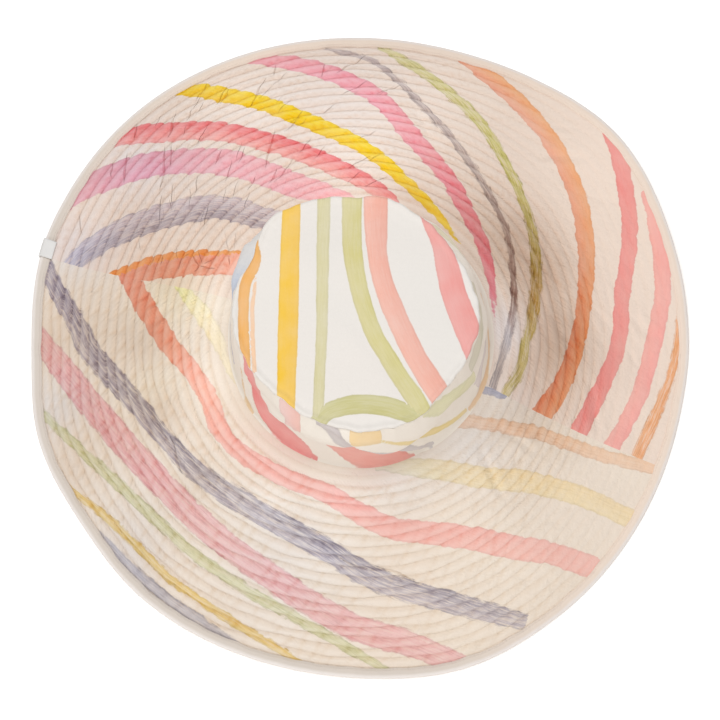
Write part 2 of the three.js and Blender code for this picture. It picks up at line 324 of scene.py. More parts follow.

# %% [markdown]
# ## The print
# The cloth is printed with broad brush stripes before it is cut and quilted. One stripe is a path
# with a width, two shades of ink across it and a dryness that lets the brush's streaks show. A
# stripe could be painted into an image, but then its edges would blur close up. Instead each corner
# of the mesh learns how deep it lies inside the nearest stripe, and the material draws the edge from
# that depth, so the edge stays sharp at any size.
#
# The rows below place each path, on the brim by the angle round the crown and the fraction
# of the way from the crown's seam to the edge, and then half the stripe's width in millimetres. Here
# are the stripes of the back half, which fan out from the crown's right and back.

# %% Stripes of the brim's back half
# name, dryness of the brush, inks (from which point of the path, near side, far side), path
BACK_STRIPES = [
    ("orange at the side", 0.55, [(0, "#eca46e", "#edac7c")],
     [(338, 0.84, 5), (350, 0.885, 4.6), (359, 0.93, 3.6), (372, 1.0, 2.8)]),
    ("light pink", 0.05, [(0, "#f2aaa2", "#f3aca2")],
     [(337, 0.7, 5.8), (352, 0.775, 6), (371, 0.885, 6.2), (383, 0.94, 5.6), (389, 0.955, 3.6)]),
    ("pink", 0.05, [(0, "#ec9790", "#ed938d")],
     [(337, 0.52, 6.4), (360, 0.63, 5.8), (373, 0.69, 5.8), (385, 0.82, 5.8), (397, 0.93, 5.8),
      (404, 1.0, 4.4)]),
    ("broad orange", 0.08,
     [(0, "#e69563", "#e28b64"), (1, "#ec9e6b", "#e8946c"), (2, "#eea16d", "#ea9770"),
      (3, "#e79a68", "#e4946b"), (4.5, "#eaa573", "#e8a181"), (6, "#efae7c", "#edac92")],
     [(337, 0.31, 7.8), (350, 0.375, 6.8), (361, 0.425, 6), (373, 0.495, 5.8), (386, 0.59, 6.4),
      (398, 0.68, 6.4), (410, 0.775, 6.2), (420, 0.86, 7), (428, 0.935, 6), (434, 1.0, 3.4)]),
    # The olive ink is painted darker near its third point, in the hollow right of the crown: painted
    # shade.
    ("olive", 0.5,
     [(0, "#d3c286", "#cebc7e"), (2, "#d4c07e", "#cdb876"), (3.2, "#c9a555", "#be984e"),
      (4.6, "#c8b76c", "#bfab5c"), (6, "#cfc67c", "#c9bf6c"), (9, "#ded3a2", "#d6ca96")],
     [(336, 0.105, 3.2), (350, 0.15, 4), (361, 0.17, 4.4), (374, 0.235, 4.8), (386, 0.312, 4.6),
      (398, 0.4, 4.2), (411, 0.515, 4), (423, 0.655, 4.4), (435, 0.795, 4.6), (446, 0.945, 4)]),
    # The thin grey ink is painted darker and browner near its third point, for the same painted shade.
    ("thin grey", 0.45,
     [(0, "#b0a29e", "#a59896"), (1, "#b9aba6", "#aea19d"), (2.3, "#ad8a7b", "#9c786b"),
      (4, "#b59a8e", "#a48a82"), (5.5, "#c2aea6", "#b1a09a"), (9, "#d2c0b9", "#c1b0ac")],
     [(340, 0.045, 3.2), (360, 0.075, 3.1), (373, 0.125, 2.8), (386, 0.185, 2.8), (398, 0.26, 2.9),
      (411, 0.35, 3), (423, 0.465, 3.2), (435, 0.62, 3), (447, 0.845, 2.8), (456, 0.935, 2.4)]),
    # The rose ink is darker near the crown, where the brim falls steeply: painted shade.
    ("rose", 0.1,
     [(0, "#ec8896", "#ea8c9a"), (4, "#eb858d", "#ea8992"), (6, "#ed989d", "#ee9ca3"),
      (8, "#f0a9ae", "#f2adb2")],
     [(368, 0.02, 0.8), (374, 0.03, 1.7), (380, 0.048, 2.5), (387, 0.072, 3.5), (398, 0.12, 4.8),
      (411, 0.19, 5.8), (423, 0.3, 6.6), (435, 0.43, 7), (447, 0.655, 7), (460, 0.84, 6.6),
      (470, 0.97, 5)]),
    ("yellow", 0.08, [(0, "#f3d02a", "#f0c61c")],
     [(407, 0.045, 1.6), (413, 0.068, 2.6), (422, 0.112, 3.8), (435, 0.195, 4.9), (447, 0.325, 5.8),
      (460, 0.485, 6.4), (472, 0.705, 6.6), (480, 0.88, 6.4), (485.5, 1.03, 6)]),
    ("coral", 0.15, [(0, "#ec8585", "#f2aca4")],
     [(431, 0.03, 3.2), (440, 0.09, 5.2), (447, 0.15, 6.3), (460, 0.27, 7.6), (472, 0.445, 8),
      (484, 0.675, 8), (495, 0.905, 7.8), (501, 1.04, 7)]),
    ("mauve", 0.1,
     [(0, "#f9c0bf", "#f9c3c3"), (1.5, "#f4babb", "#f5bebf"), (3, "#eeb4b8", "#f0b9be"),
      (4.5, "#e1a3ac", "#e8adb6")],
     [(452, 0.03, 6), (463, 0.11, 8), (472, 0.2, 9.5), (485, 0.47, 10.4), (497, 0.725, 10.2),
      (507, 0.91, 9.4), (513, 0.995, 7.5), (520, 1.05, 4)]),
    ("grey lilac", 0.5,
     [(0, "#d5c5c5", "#b6a6aa"), (3, "#d0c0c2", "#b4a6ab"), (5, "#c9c1c8", "#b8b0b9")],
     [(480, 0.0, 6.5), (487, 0.115, 9), (497, 0.355, 10.2), (510, 0.605, 10.2), (519, 0.775, 8.6),
      (525.5, 0.875, 6)]),
    ("pink under the orange", 0.08,
     [(0, "#fbc8b9", "#fbcbbe"), (1, "#f7bba6", "#f7bfad"), (2, "#e69c80", "#e9a288"),
      (4, "#e2967c", "#e59a80")],
     [(500.6, -0.01, 8.6), (507.6, 0.07, 9), (513.8, 0.235, 9.2), (519.8, 0.45, 9),
      (525.5, 0.64, 6.4)]),
    ("orange line", 0.1,
     [(0, "#f4bd84", "#f4c08a"), (1, "#f1ab68", "#f1ae70"), (2, "#ec9a52", "#ec9e58")],
     [(497, 0.0, 2.2), (504.8, 0.1, 2.6), (510.3, 0.225, 3.9), (517.1, 0.43, 5.2),
      (524.1, 0.64, 4.4)]),
]
print("stripes on the back half:", len(BACK_STRIPES))

# %% [markdown]
# ## Stripes of the front
# On the front half the stripes are arches that run from the left edge round the crown to the right.
# The broad grey one was painted with a nearly dry brush, so its streaks show most.

# %% Stripes of the brim's front half
FRONT_STRIPES = [
    ("coral arch", 0.08,
     [(0, "#e6a08c", "#e59c84"), (2, "#e7a188", "#e69d84"), (3.2, "#eda98f", "#eba68c"),
      (4.2, "#f3baa8", "#f3b8a6"), (5, "#f5bfae", "#f5bdac"), (7, "#f1beb3", "#f0bab0")],
     [(158, 0.62, 6), (163, 0.535, 7), (169, 0.44, 7.2), (181, 0.295, 6.8), (188, 0.22, 6.4),
      (201, 0.16, 6.4), (212, 0.178, 6.4), (221, 0.182, 6), (231, 0.16, 6.2), (244, 0.145, 6.4),
      (258, 0.15, 6.6), (270, 0.228, 7.2), (279.5, 0.303, 7.8), (288, 0.348, 8), (296, 0.42, 8.2),
      (302, 0.51, 8.2), (308, 0.63, 8.2), (313, 0.76, 8.2), (316.5, 0.93, 8)]),
    ("dry grey arch", 0.6,
     [(0, "#b0a5ae", "#a0949e"), (3, "#b8abae", "#a79a9f"), (4, "#b9adb1", "#a89ea5"),
      (6, "#c4b9bb", "#b5abae"), (9, "#bdb3b8", "#aba2aa"), (12, "#c6bbbe", "#aca3ab")],
     [(163, 1.02, 6.4), (175, 0.76, 7.6), (180, 0.7, 8), (194, 0.5, 7.6), (206, 0.435, 6.4),
      (219, 0.39, 7.4), (231, 0.355, 8), (244, 0.35, 8), (256, 0.385, 8.2), (262, 0.42, 8.2),
      (270, 0.495, 8.2), (277.5, 0.565, 8.2), (284, 0.625, 8), (290, 0.7, 7.8), (295, 0.79, 7.4),
      (300, 0.9, 6.2)]),
    ("rose arch", 0.32,
     [(0, "#eab6b4", "#ebb9b7"), (3, "#e5afad", "#e8b4b1"), (5, "#e8b8b4", "#eabcb8")],
     [(175, 1.02, 7), (181, 0.88, 8.6), (193, 0.69, 9.4), (206, 0.595, 9.2), (219, 0.55, 9),
      (231, 0.545, 9), (244, 0.575, 9), (256, 0.645, 9), (268, 0.75, 9), (280, 0.845, 8.6),
      (288, 0.98, 7)]),
    ("green arch", 0.4, [(0, "#d6d0a8", "#d9d3ae")],
     [(188, 1.02, 3.4), (206, 0.76, 4.2), (219, 0.69, 4.2), (231, 0.675, 4.2), (244, 0.695, 4.2),
      (256, 0.745, 4), (268, 0.86, 3.8), (276, 0.98, 3.4)]),
    ("yellow arch", 0.35, [(0, "#e8cd8c", "#e8c882")],
     [(203, 0.99, 2.6), (212, 0.885, 3.2), (219, 0.845, 3.3), (231, 0.835, 3.3), (244, 0.855, 3.3),
      (256, 0.925, 3), (262, 1.0, 2.4)]),
    ("grey at the edge", 0.35, [(0, "#bdb6b9", "#c6bfc0")],
     [(213, 0.965, 2.4), (221, 0.935, 3.8), (231, 0.92, 4.2), (243, 0.94, 3.8), (250, 0.98, 2.4)]),
    ("pale yellow by the crown", 0.3,
     [(0, "#e9e4ae", "#efe6bc"), (1.5, "#f3e7c4", "#f3e7c8"), (3, "#f3e4c2", "#f4e7cc")],
     [(163, 0.275, 3.4), (166.5, 0.21, 5.4), (170.5, 0.15, 6), (176, 0.095, 5.8),
      (182.5, 0.05, 4.8), (192, 0.025, 3), (203, 0.0, 2)]),
    ("pale yellow", 0.2,
     [(0, "#e4dcc6", "#e4d9be"), (2, "#e8dabb", "#e8d7b4"), (4, "#eedab4", "#eed7ae")],
     [(279, 0.0, 4.5), (288, 0.035, 5.8), (295.5, 0.075, 6.6), (302, 0.13, 7.2),
      (308.5, 0.214, 7.6), (315, 0.32, 7.8), (321, 0.448, 8), (326, 0.676, 7.8), (328, 0.93, 7)]),
    ("peach", 0.2, [(0, "#ecc9ae", "#ecc5a5")],
     [(312, -0.03, 3.8), (320, 0.01, 4.4), (330, 0.21, 5.2), (334, 0.38, 5.2), (336.6, 0.7, 5),
      (338.6, 0.97, 5)]),
    ("blue grey by the crown", 0.2, [(0, "#b0adb9", "#aba8b5")],
     [(336, 0.0, 3), (338.5, 0.1, 3)]),
]
print("stripes on the front half:", len(FRONT_STRIPES))

# %% [markdown]
# ## Stripes of the crown's top
# The crown's top is a flat round, so its stripes are placed by x and y in millimetres, seen from
# above.

# %% Stripes of the crown's top
TIP_STRIPES = [
    ("orange", 0.05, [(0, "#ebac58", "#eab268")],
     [(-69.8, 43, 1.4), (-69.6, 34, 3), (-72.6, 25, 3.9), (-77.2, 14, 3.8), (-78.3, -6, 3.7),
      (-77.6, -24, 3.6), (-75.4, -38, 2.4), (-74, -45, 1)]),
    ("thin peach", 0.03, [(0, "#f5d2b2", "#f2c6a0")],
     [(-70.2, 24, 0.6), (-70.9, 12, 1.3), (-72.2, 2, 1.6), (-72.3, -8, 1.6), (-71.9, -24, 1.6),
      (-70.6, -43, 1.5)]),
    ("gold", 0.03, [(0, "#efc240", "#ecbf48")],
     [(-46.2, 76, 6.2), (-47.2, 35, 6.6), (-48.2, -17, 6.9), (-49, -50, 6.4), (-49.5, -78, 6)]),
    ("first green", 0.12, [(0, "#d2ca9b", "#d5cea6")],
     [(-24.2, 80, 4.8), (-25, 30, 4.4), (-25.6, -20, 4), (-27, -52, 3.8), (-27.6, -76, 4)]),
    ("second green", 0.1, [(0, "#d2c98f", "#cfc788")],
     [(-5, 80, 7), (-5.4, 55, 6.9), (-4.4, 35, 6.6), (-1, 15, 6.2), (4, -4, 6), (10, -20, 6),
      (18, -34, 6), (27, -49, 6.2), (37, -64, 6.6), (42, -74, 6.6)]),
    ("green foot", 0.12, [(0, "#c5bf84", "#c8c38c")],
     [(-28, -80, 5.5), (-21, -73, 6), (-9, -69, 6.6), (4, -68, 6.8), (18, -69.5, 6.8),
      (31, -73.5, 6.6), (42, -78, 6)]),
    ("coral", 0.1, [(0, "#eeb4a3", "#e8aa99")],
     [(11, 80, 8.4), (11, 55, 8), (12, 36, 6.8), (15.4, 18, 6.9), (21.3, 1, 7.4), (28.5, -16, 7.4),
      (37, -34, 7.4), (47, -51, 7.8), (57, -67, 7.6)]),
    ("pink", 0.05, [(0, "#e9a29c", "#e69a94")],
     [(42, 66, 2.5), (49, 54, 4.6), (55, 42, 6), (59.5, 26, 8), (63.5, 9, 8.6), (69.5, -8, 8.8),
      (76, -27, 8), (81, -42, 7)]),
]
print("stripes on the crown's top:", len(TIP_STRIPES))

# %% [markdown]
# ## Stripes of the crown's side
# The side is placed by the angle round it and the fraction of the way up. Its stripes are measured
# on a band squashed to 27 mm high, because the photograph sees the side so steeply.

# %% Stripes of the crown's side
SIDE_BAND = 27.0
SIDE_STRIPES = [
    ("red falling to the left", 0.05, [(0, "#ee8886", "#ec9692")],
     [(200, 1.08, 1.4), (205, 0.97, 3.4), (209, 0.84, 4.8), (212, 0.66, 5.5), (215.5, 0.47, 5.5),
      (220.5, 0.33, 5.2), (226, 0.25, 5), (232, 0.22, 5), (238, 0.19, 5.2), (243, 0.13, 4.4),
      (249, 0.06, 1)]),
    ("pale pink under the gold", 0.05, [(0, "#f2cdc8", "#f1bdb2")],
     [(234, 1.05, 8.6), (236.5, 0.86, 8.4), (238, 0.72, 7.8)]),
    ("salmon in the crease", 0.05, [(0, "#f0b6a9", "#f0b6a9")],
     [(241, 0.56, 1.2), (250, 0.56, 1), (257, 0.52, 1.8)]),
    ("coral at the foot", 0.05, [(0, "#efaa9f", "#ed9e93")],
     [(257, 0.46, 3.2), (264, 0.33, 5.6), (272, 0.24, 6.4), (280, 0.17, 5), (287, 0.1, 3),
      (292, 0.04, 0.8)]),
    # This row is painted shadow: grey lilac shade under the roll of the band's first fold.
    ("grey lilac painted shadow under the roll", 0.1, [(0, "#d0c8c6", "#cbc2c2")],
     [(252, 1.0, 2), (258, 0.92, 3.6), (265, 0.72, 3.4), (273, 0.58, 3), (282, 0.42, 3.2),
      (290, 0.3, 3), (301, 0.1, 1.6)]),
    ("yellow patch", 0.05, [(0, "#f1d19a", "#f1d4a2")],
     [(268.5, 0.93, 3), (277.5, 0.92, 3.4)]),
    ("thin yellow", 0.1, [(0, "#efd898", "#efd898")],
     [(281, 0.8, 0.8), (287, 0.68, 1.4), (295, 0.5, 1.8), (303, 0.36, 1.8), (312, 0.24, 1.7),
      (322, 0.14, 1.4)]),
    ("thin orange at the right", 0.1, [(0, "#efcaa0", "#efcaa0")],
     [(327, 0.08, 1.3), (338, 0.06, 1.3), (349, 0.1, 1.3), (361, 0.18, 1.2), (378, 0.2, 1)]),
    ("pale green", 0.1, [(0, "#e5e0b8", "#e2deb6")],
     [(303, 0.98, 2), (310, 0.84, 3.4), (318, 0.74, 4.2), (327, 0.6, 4.6), (334, 0.5, 4)]),
    ("olive grey at the right", 0.1, [(0, "#dad4bc", "#d8d2c0")],
     [(337, 0.78, 3), (346, 0.82, 3.6), (358, 0.86, 3.4), (374, 0.92, 2.4)]),
    ("lilac at the right", 0.1, [(0, "#ddd0d0", "#dfd3ce")],
     [(336, 0.28, 2.2), (348, 0.4, 3), (364, 0.5, 3), (384, 0.56, 2.4)]),
    # The flap's pale grey is painted shade on white cloth, and the blue at its end is print.
    ("flap in painted shade, blue at its end", 0.05,
     [(0, "#dcdad7", "#dedbd9"), (2.2, "#d5d6d9", "#dadadb"), (3.4, "#bccae2", "#c9d2e2"),
      (5, "#a9bbdb", "#b7c6de")],
     [(141, 0.95, 2.5), (147, 0.88, 5), (155, 0.82, 7), (162, 0.8, 6.4), (167, 0.8, 5),
      (171, 0.79, 3)]),
    ("lilac at the upper right", 0.1, [(0, "#cbc1c8", "#cbc1c8")],
     [(388, 0.3, 2.4), (400, 0.5, 3), (412, 0.74, 2.4), (425, 0.9, 1.4)]),
    ("yellow at the upper right", 0.1, [(0, "#e8debe", "#e8debe")],
     [(392, 0.78, 2.4), (402, 0.86, 2.6), (410, 0.95, 1.6)]),
    ("thin orange at the left", 0.1, [(0, "#f0d0a6", "#f0d0a6")],
     [(186, 0.75, 0.7), (196, 0.5, 0.9), (203, 0.25, 1), (208, 0.1, 1), (214, 0.04, 0.9)]),
    ("lilac line at the left", 0.1, [(0, "#cbc4d2", "#cbc4d2")],
     [(172, 0.3, 0.8), (180, 0.2, 1), (192, 0.14, 0.9)]),
]
print("stripes on the crown's side:", len(SIDE_STRIPES))

# %% [markdown]
# ## Brush strokes on a mesh
# A row of a table becomes a smooth path of points about 3 mm apart. Every point of the cloth then
# finds the nearest place on every path. Its distance across the path gives the depth inside the
# stripe, and its distance along it gives the streaks their direction. The inks run from one shade
# to the next along the stripe, and from one side of it to the other.

# %% Paths, depths and inks
def brush_path(points, spacing=3.0):
    """A smooth curve through the points of one stripe: rows of x, y, half width and point number."""
    points = np.column_stack([np.array(points, float), np.arange(len(points))])
    before, after = 2 * points[0] - points[1], 2 * points[-1] - points[-2]
    knots = np.vstack([before, points, after])
    rows = []
    for a, b, c, d in zip(knots, knots[1:], knots[2:], knots[3:]):
        steps = max(2, int(np.hypot(*(c - b)[:2]) / spacing))
        rows.append(curve_between(a, b, c, d, np.arange(steps)[:, None] / steps))
    return np.vstack(rows + [points[-1:]])


def path_steps(path):
    """Lengths from each point of a path to the next, in millimetres."""
    return np.linalg.norm(np.diff(path[:, :2], axis=0), axis=1)


def stroke_distances(flat, path, at_once=20000):
    """For each point on the cloth: depth inside the stripe, place across it and along it in
    millimetres, and place along it counted in the stripe's own points."""
    tangent = np.gradient(path[:, :2], axis=0)
    tangent /= np.linalg.norm(tangent, axis=1)[:, None]
    step = path_steps(path)
    along = np.concatenate([[0], np.cumsum(step)])
    nearest = np.empty(len(flat), int)
    for part in np.array_split(np.arange(len(flat)), max(1, len(flat) // at_once)):
        gap = flat[part, None, :] - path[None, :, :2]
        nearest[part] = np.argmin((gap ** 2).sum(axis=2), axis=1)
    offset = flat - path[nearest, :2]
    forward = (offset * tangent[nearest]).sum(axis=1)
    across = tangent[nearest, 0] * offset[:, 1] - tangent[nearest, 1] * offset[:, 0]
    beyond = np.where((nearest == 0) | (nearest == len(path) - 1), np.abs(forward), 0)
    depth = path[nearest, 2] - np.hypot(across, np.where(beyond > step.max(), beyond, 0))
    return depth, across, along[nearest] + forward, path[nearest, 3]


def mix_ink(shades, place, across, channel):
    """One colour channel of a stripe's ink at places along it and across it, in linear light."""
    starts = [row[0] for row in shades]
    near, far = (np.interp(place, starts, [linear(row[edge])[channel] for row in shades])
                 for edge in (1, 2))
    return near + (far - near) * np.clip(across / 10 + 0.5, 0, 1)


# %% [markdown]
# ## Four UV maps for the ink
# A face has one stripe only, the one that its corners lie deepest in, so that no stripe's edge is
# torn between two paths. UV maps hold two values each, so the stripe's number and depth, the place
# in the stroke, and the ink's colour with its dryness take four of them.

# %% Print on a piece
FAR_AWAY = 50.0
UV_MM = 100


def print_stripes(piece, flat, stripes, paths, plain):
    """Writes four UV maps. "ink" holds the nearest stripe's number and the depth inside it, "stroke"
    the place across and along it, "ink_rg" and "ink_bd" its red, green, blue and dryness. Lengths are
    in units of UV_MM millimetres, and a point that no path comes near is FAR_AWAY outside it."""
    depth, across, along, mark = np.full((4, len(paths), len(flat)), -FAR_AWAY)
    printed = np.flatnonzero(~plain)
    for k, path in enumerate(paths):
        found = stroke_distances(flat[printed], path)
        depth[k, printed], across[k, printed], along[k, printed], mark[k, printed] = found
    corners, faces = corner_points(piece.data), corner_faces(piece.data)
    summed = np.array([np.bincount(faces, weights=row[corners]) for row in depth])
    chosen = np.argmax(summed, axis=0)[faces]
    ink = np.zeros((3, len(corners)))
    for k, (_, _, shades, _) in enumerate(stripes):
        here = np.flatnonzero(chosen == k)
        at = corners[here]
        for channel in range(3):
            ink[channel, here] = mix_ink(shades, mark[k, at], across[k, at], channel)
    dryness = np.array([row[1] for row in stripes])[chosen]
    write_map(piece, "ink", (chosen + 0.5) / len(paths), depth[chosen, corners] / UV_MM)
    write_map(piece, "stroke", across[chosen, corners] / UV_MM, along[chosen, corners] / UV_MM)
    write_map(piece, "ink_rg", ink[0], ink[1])
    write_map(piece, "ink_bd", ink[2], dryness)
    print(piece.name, "carries", len(paths), "stripes")


def on_brim(angle, fraction):
    """A place on the brim in millimetres from the crown's axis, from its angle and fraction out."""
    reach = float(around(BRIM_SECTIONS, 1, np.array(float(angle))))
    radius = HEAD_RADIUS + fraction * (reach - HEAD_RADIUS)
    return radius * cos(radians(angle)), radius * sin(radians(angle))


def brim_paths(stripes):
    """Brim stripes as curves in millimetres, seen from above the crown's axis."""
    return [brush_path([(*on_brim(angle, fraction), half) for angle, fraction, half in points])
            for *_, points in stripes]


# %% [markdown]
# ## Flat blanks
# Cloth parts are cut flat and then shaped, and the pieces here are made the same way. A line of
# points is spun about the crown's axis into a flat ring, which is extruded into two layers. Each
# point of such a blank still knows its station across the ring, its angle and its layer, so a
# function can lay it in its place on the hat.

# %% Blanks
BLANK_START = 100.0
BLANK_STEP = 1.5


def add_underlayer(blank):
    """Gives a flat blank a second layer 1 mm below, joined to the first all round."""
    under = bmesh.ops.extrude_face_region(blank, geom=blank.faces[:])
    lower = [part for part in under["geom"] if isinstance(part, bmesh.types.BMVert)]
    bmesh.ops.translate(blank, verts=lower, vec=(0, 0, -MM))
    bmesh.ops.recalc_face_normals(blank, faces=blank.faces)


def spun_blank(count, first_angle, last_angle, steps, start=BLANK_START, closed=False):
    """A flat ring or part of one in two layers, or a disc where it starts at the axis."""
    blank = bmesh.new()
    line = [blank.verts.new(((start + j * BLANK_STEP) * MM, 0, 0)) for j in range(count)]
    edges = [blank.edges.new(pair) for pair in zip(line, line[1:])]
    bmesh.ops.rotate(blank, verts=line, cent=(0, 0, 0),
                     matrix=Matrix.Rotation(radians(first_angle), 3, "Z"))
    bmesh.ops.spin(blank, geom=line + edges, axis=(0, 0, 1), cent=(0, 0, 0),
                   angle=radians(last_angle - first_angle), steps=steps, use_merge=closed)
    if start == 0:
        bmesh.ops.remove_doubles(blank, verts=blank.verts, dist=1e-6)
    add_underlayer(blank)
    return blank


# %% [markdown]
# ## Reading a blank and laying it on the hat
# The shape functions work on whole lists of points at once, which is fast. So a blank's points are
# read as lists of stations, angles and layers, and new places for all of them are written back.

# %% Reading and laying
BETWEEN_LAYERS = -0.2


def read_points(piece):
    """x and y of every point of a blank in millimetres, and its layer: +1 above, -1 below."""
    spots = np.empty(len(piece.data.vertices) * 3)
    piece.data.vertices.foreach_get("co", spots)
    x, y, z = (spots.reshape(-1, 3) / MM).T
    return x, y, np.where(z > BETWEEN_LAYERS, 1, -1)


def read_ring(piece, first_angle):
    """Station number, angle and layer of every point of a ring blank."""
    x, y, layer = read_points(piece)
    station = np.rint((np.hypot(x, y) - BLANK_START) / BLANK_STEP).astype(int)
    angle = np.mod(np.degrees(np.arctan2(y, x)) - first_angle + 0.01, 360) - 0.01 + first_angle
    return station, angle, layer


def lay(piece, x, y, z):
    """Moves every point to its place: x and y from the crown's axis, z from the table."""
    spots = np.column_stack([x + CROWN_AXIS[0], y + CROWN_AXIS[1], z]) * MM
    piece.data.vertices.foreach_set("co", spots.ravel())
    piece.data.update()


def sharpen(piece, degrees=65):
    """Cut edges stay crisp, so that smooth shading doesn't draw a dark line along them."""
    piece.data.set_sharp_from_angle(angle=radians(degrees))


def face_outwards(piece):
    """Points every face outwards again after a blank was bent far from flat."""
    shape = bmesh.new()
    shape.from_mesh(piece.data)
    bmesh.ops.recalc_face_normals(shape, faces=shape.faces)
    shape.to_mesh(piece.data)
    shape.free()


# %% [markdown]
# ## Soft unevenness
# Nothing in cloth repeats exactly. A few sine waves of different lengths, in directions and phases
# from a seeded dice, add up to an unevenness that is smooth and is the same on every run.

# %% Unevenness
def smooth_waves(seed, spans, *axes):
    """A slow, seamless unevenness between about -1 and 1, from sine waves of these spans in mm."""
    dice = np.random.default_rng(seed)
    total = 0
    for span in spans:
        turn = dice.uniform(0, 2 * pi)
        direction = (cos(turn), sin(turn)) if len(axes) == 2 else (1,)
        run = sum(a * d for a, d in zip(axes, direction))
        total = total + np.sin(run * 2 * pi / span + dice.uniform(0, 2 * pi))
    return total / len(spans) ** 0.5


# %% [markdown]
# ## The quilted brim
# The real brim is made of two half rings of cloth. Each is two cottons with wadding between them,
# stitched through in eighteen rings about 7 mm apart. Between two rings the wadding puffs the cloth
# up into a soft ridge, and because the rings are stitched on gathered cloth, every ridge is full of
# small slanting puckers.
#
# The ridges could be drawn by a bump map, but they would vanish at the edge and cast no shadow. So
# each half is a blank whose points lie close together where the stitching is, and the wadding fills
# out its two layers between the rings.

# %% Stations across the brim
# Each station is a distance in millimetres plus a number of quilted rows.
ROW_PARTS = (0.0, 0.13, 0.36, 0.62, 0.86)
stations = [(0.0, 0.0), (3.5, 0.0), (7.0, 0.0), (10.5, 0.0)]
stations += [(SMOOTH_ZONE, row + part) for row in range(QUILT_ROWS) for part in ROW_PARTS]
stations += [(SMOOTH_ZONE + out, QUILT_ROWS)
             for out in (0.0, 2.5, 4.6, BINDING_WIDTH - BINDING_CLOTH - HAIR)]
STATION_MM, STATION_ROW = np.array(stations).T


def ring_strength(angle, radius):
    """How clearly the rings show, from 0 to 1, in their ridges and in the painted shade beside them:
    least on the outer right of the brim, which is drawn nearly flat, and less in front than at the
    back and on the left."""
    from_right = np.abs((angle - 5 + 180) % 360 - 180)
    from_front = np.abs((angle - 312 + 180) % 360 - 180)
    right = 0.85 * np.clip((78 - from_right) / 38, 0, 1) * np.clip((radius - 150) / 28, 0, 1)
    front = 0.3 * np.clip((52 - from_front) / 30, 0, 1)
    return 1 - np.maximum(right, front)


print("stations across the brim:", len(stations))

# %% [markdown]
# ## Puckers
# Machine stitching pulls each ring a little shorter than the cloth, so the cloth between the rings
# gathers into short creases. They lean the same way along a whole ring, start sharp at the inner line
# of stitches and fade towards the next. On the back half they lean one way and on the front half the
# other, because each half was stitched from its own left seam.
#
# Each ring gets its own creases from a seeded dice, 5 to 17 mm apart and of different depths, and the
# pillows between them are filled unevenly.

# %% How full the wadding stands
# Puckers along one ring, where the first is in mm, and how many at each side reach a point
PUCKERS = 150
PUCKERS_START = -60
NEIGHBOURS = 3


def puff(part):
    """Height of the wadding between one ring of stitches, 0, and the next, 1."""
    return np.sin(pi * part ** 0.94) ** 1.45


def quilting(seed, lean, row, along):
    """Fullness of the quilting at each point, from 0 on a ring of stitches to about 1 on a ridge, and
    how deep the puckers across it are there."""
    ring = np.clip(np.floor(row), 0, QUILT_ROWS - 1).astype(int)
    part = np.clip(row - ring, 0, 1)
    full, pucker = np.zeros(len(row)), np.zeros(len(row))
    for number in range(QUILT_ROWS):
        dice = np.random.default_rng(seed * 100 + number)
        places = np.cumsum(dice.uniform(5, 17, PUCKERS)) + PUCKERS_START
        depth = dice.uniform(0.15, 1.0, PUCKERS)
        width = dice.uniform(1.1, 2.0, PUCKERS)
        slant = dice.uniform(4.5, 10, PUCKERS)
        fade = dice.uniform(0.3, 0.95, PUCKERS)
        pillow = dice.uniform(0.72, 1.15, PUCKERS)
        pick = np.flatnonzero((ring == number) & (row > 0) & (row < QUILT_ROWS))
        s, v = along[pick], part[pick]
        near = np.clip(np.searchsorted(places, s), NEIGHBOURS, PUCKERS - NEIGHBOURS - 1)
        crease = np.zeros(len(pick))
        for i in (near + step for step in range(-NEIGHBOURS, NEIGHBOURS + 1)):
            distance = (s - places[i] - lean * slant[i] * (v - 0.3)) / width[i]
            crease = np.maximum(crease, depth[i] * np.exp(-distance ** 2) * (1 - fade[i] * v))
        fill = np.interp(s - lean * 4 * v, places, pillow)
        full[pick] = puff(v) * fill * (1 - 0.8 * crease)
        pucker[pick] = crease
    return full, pucker
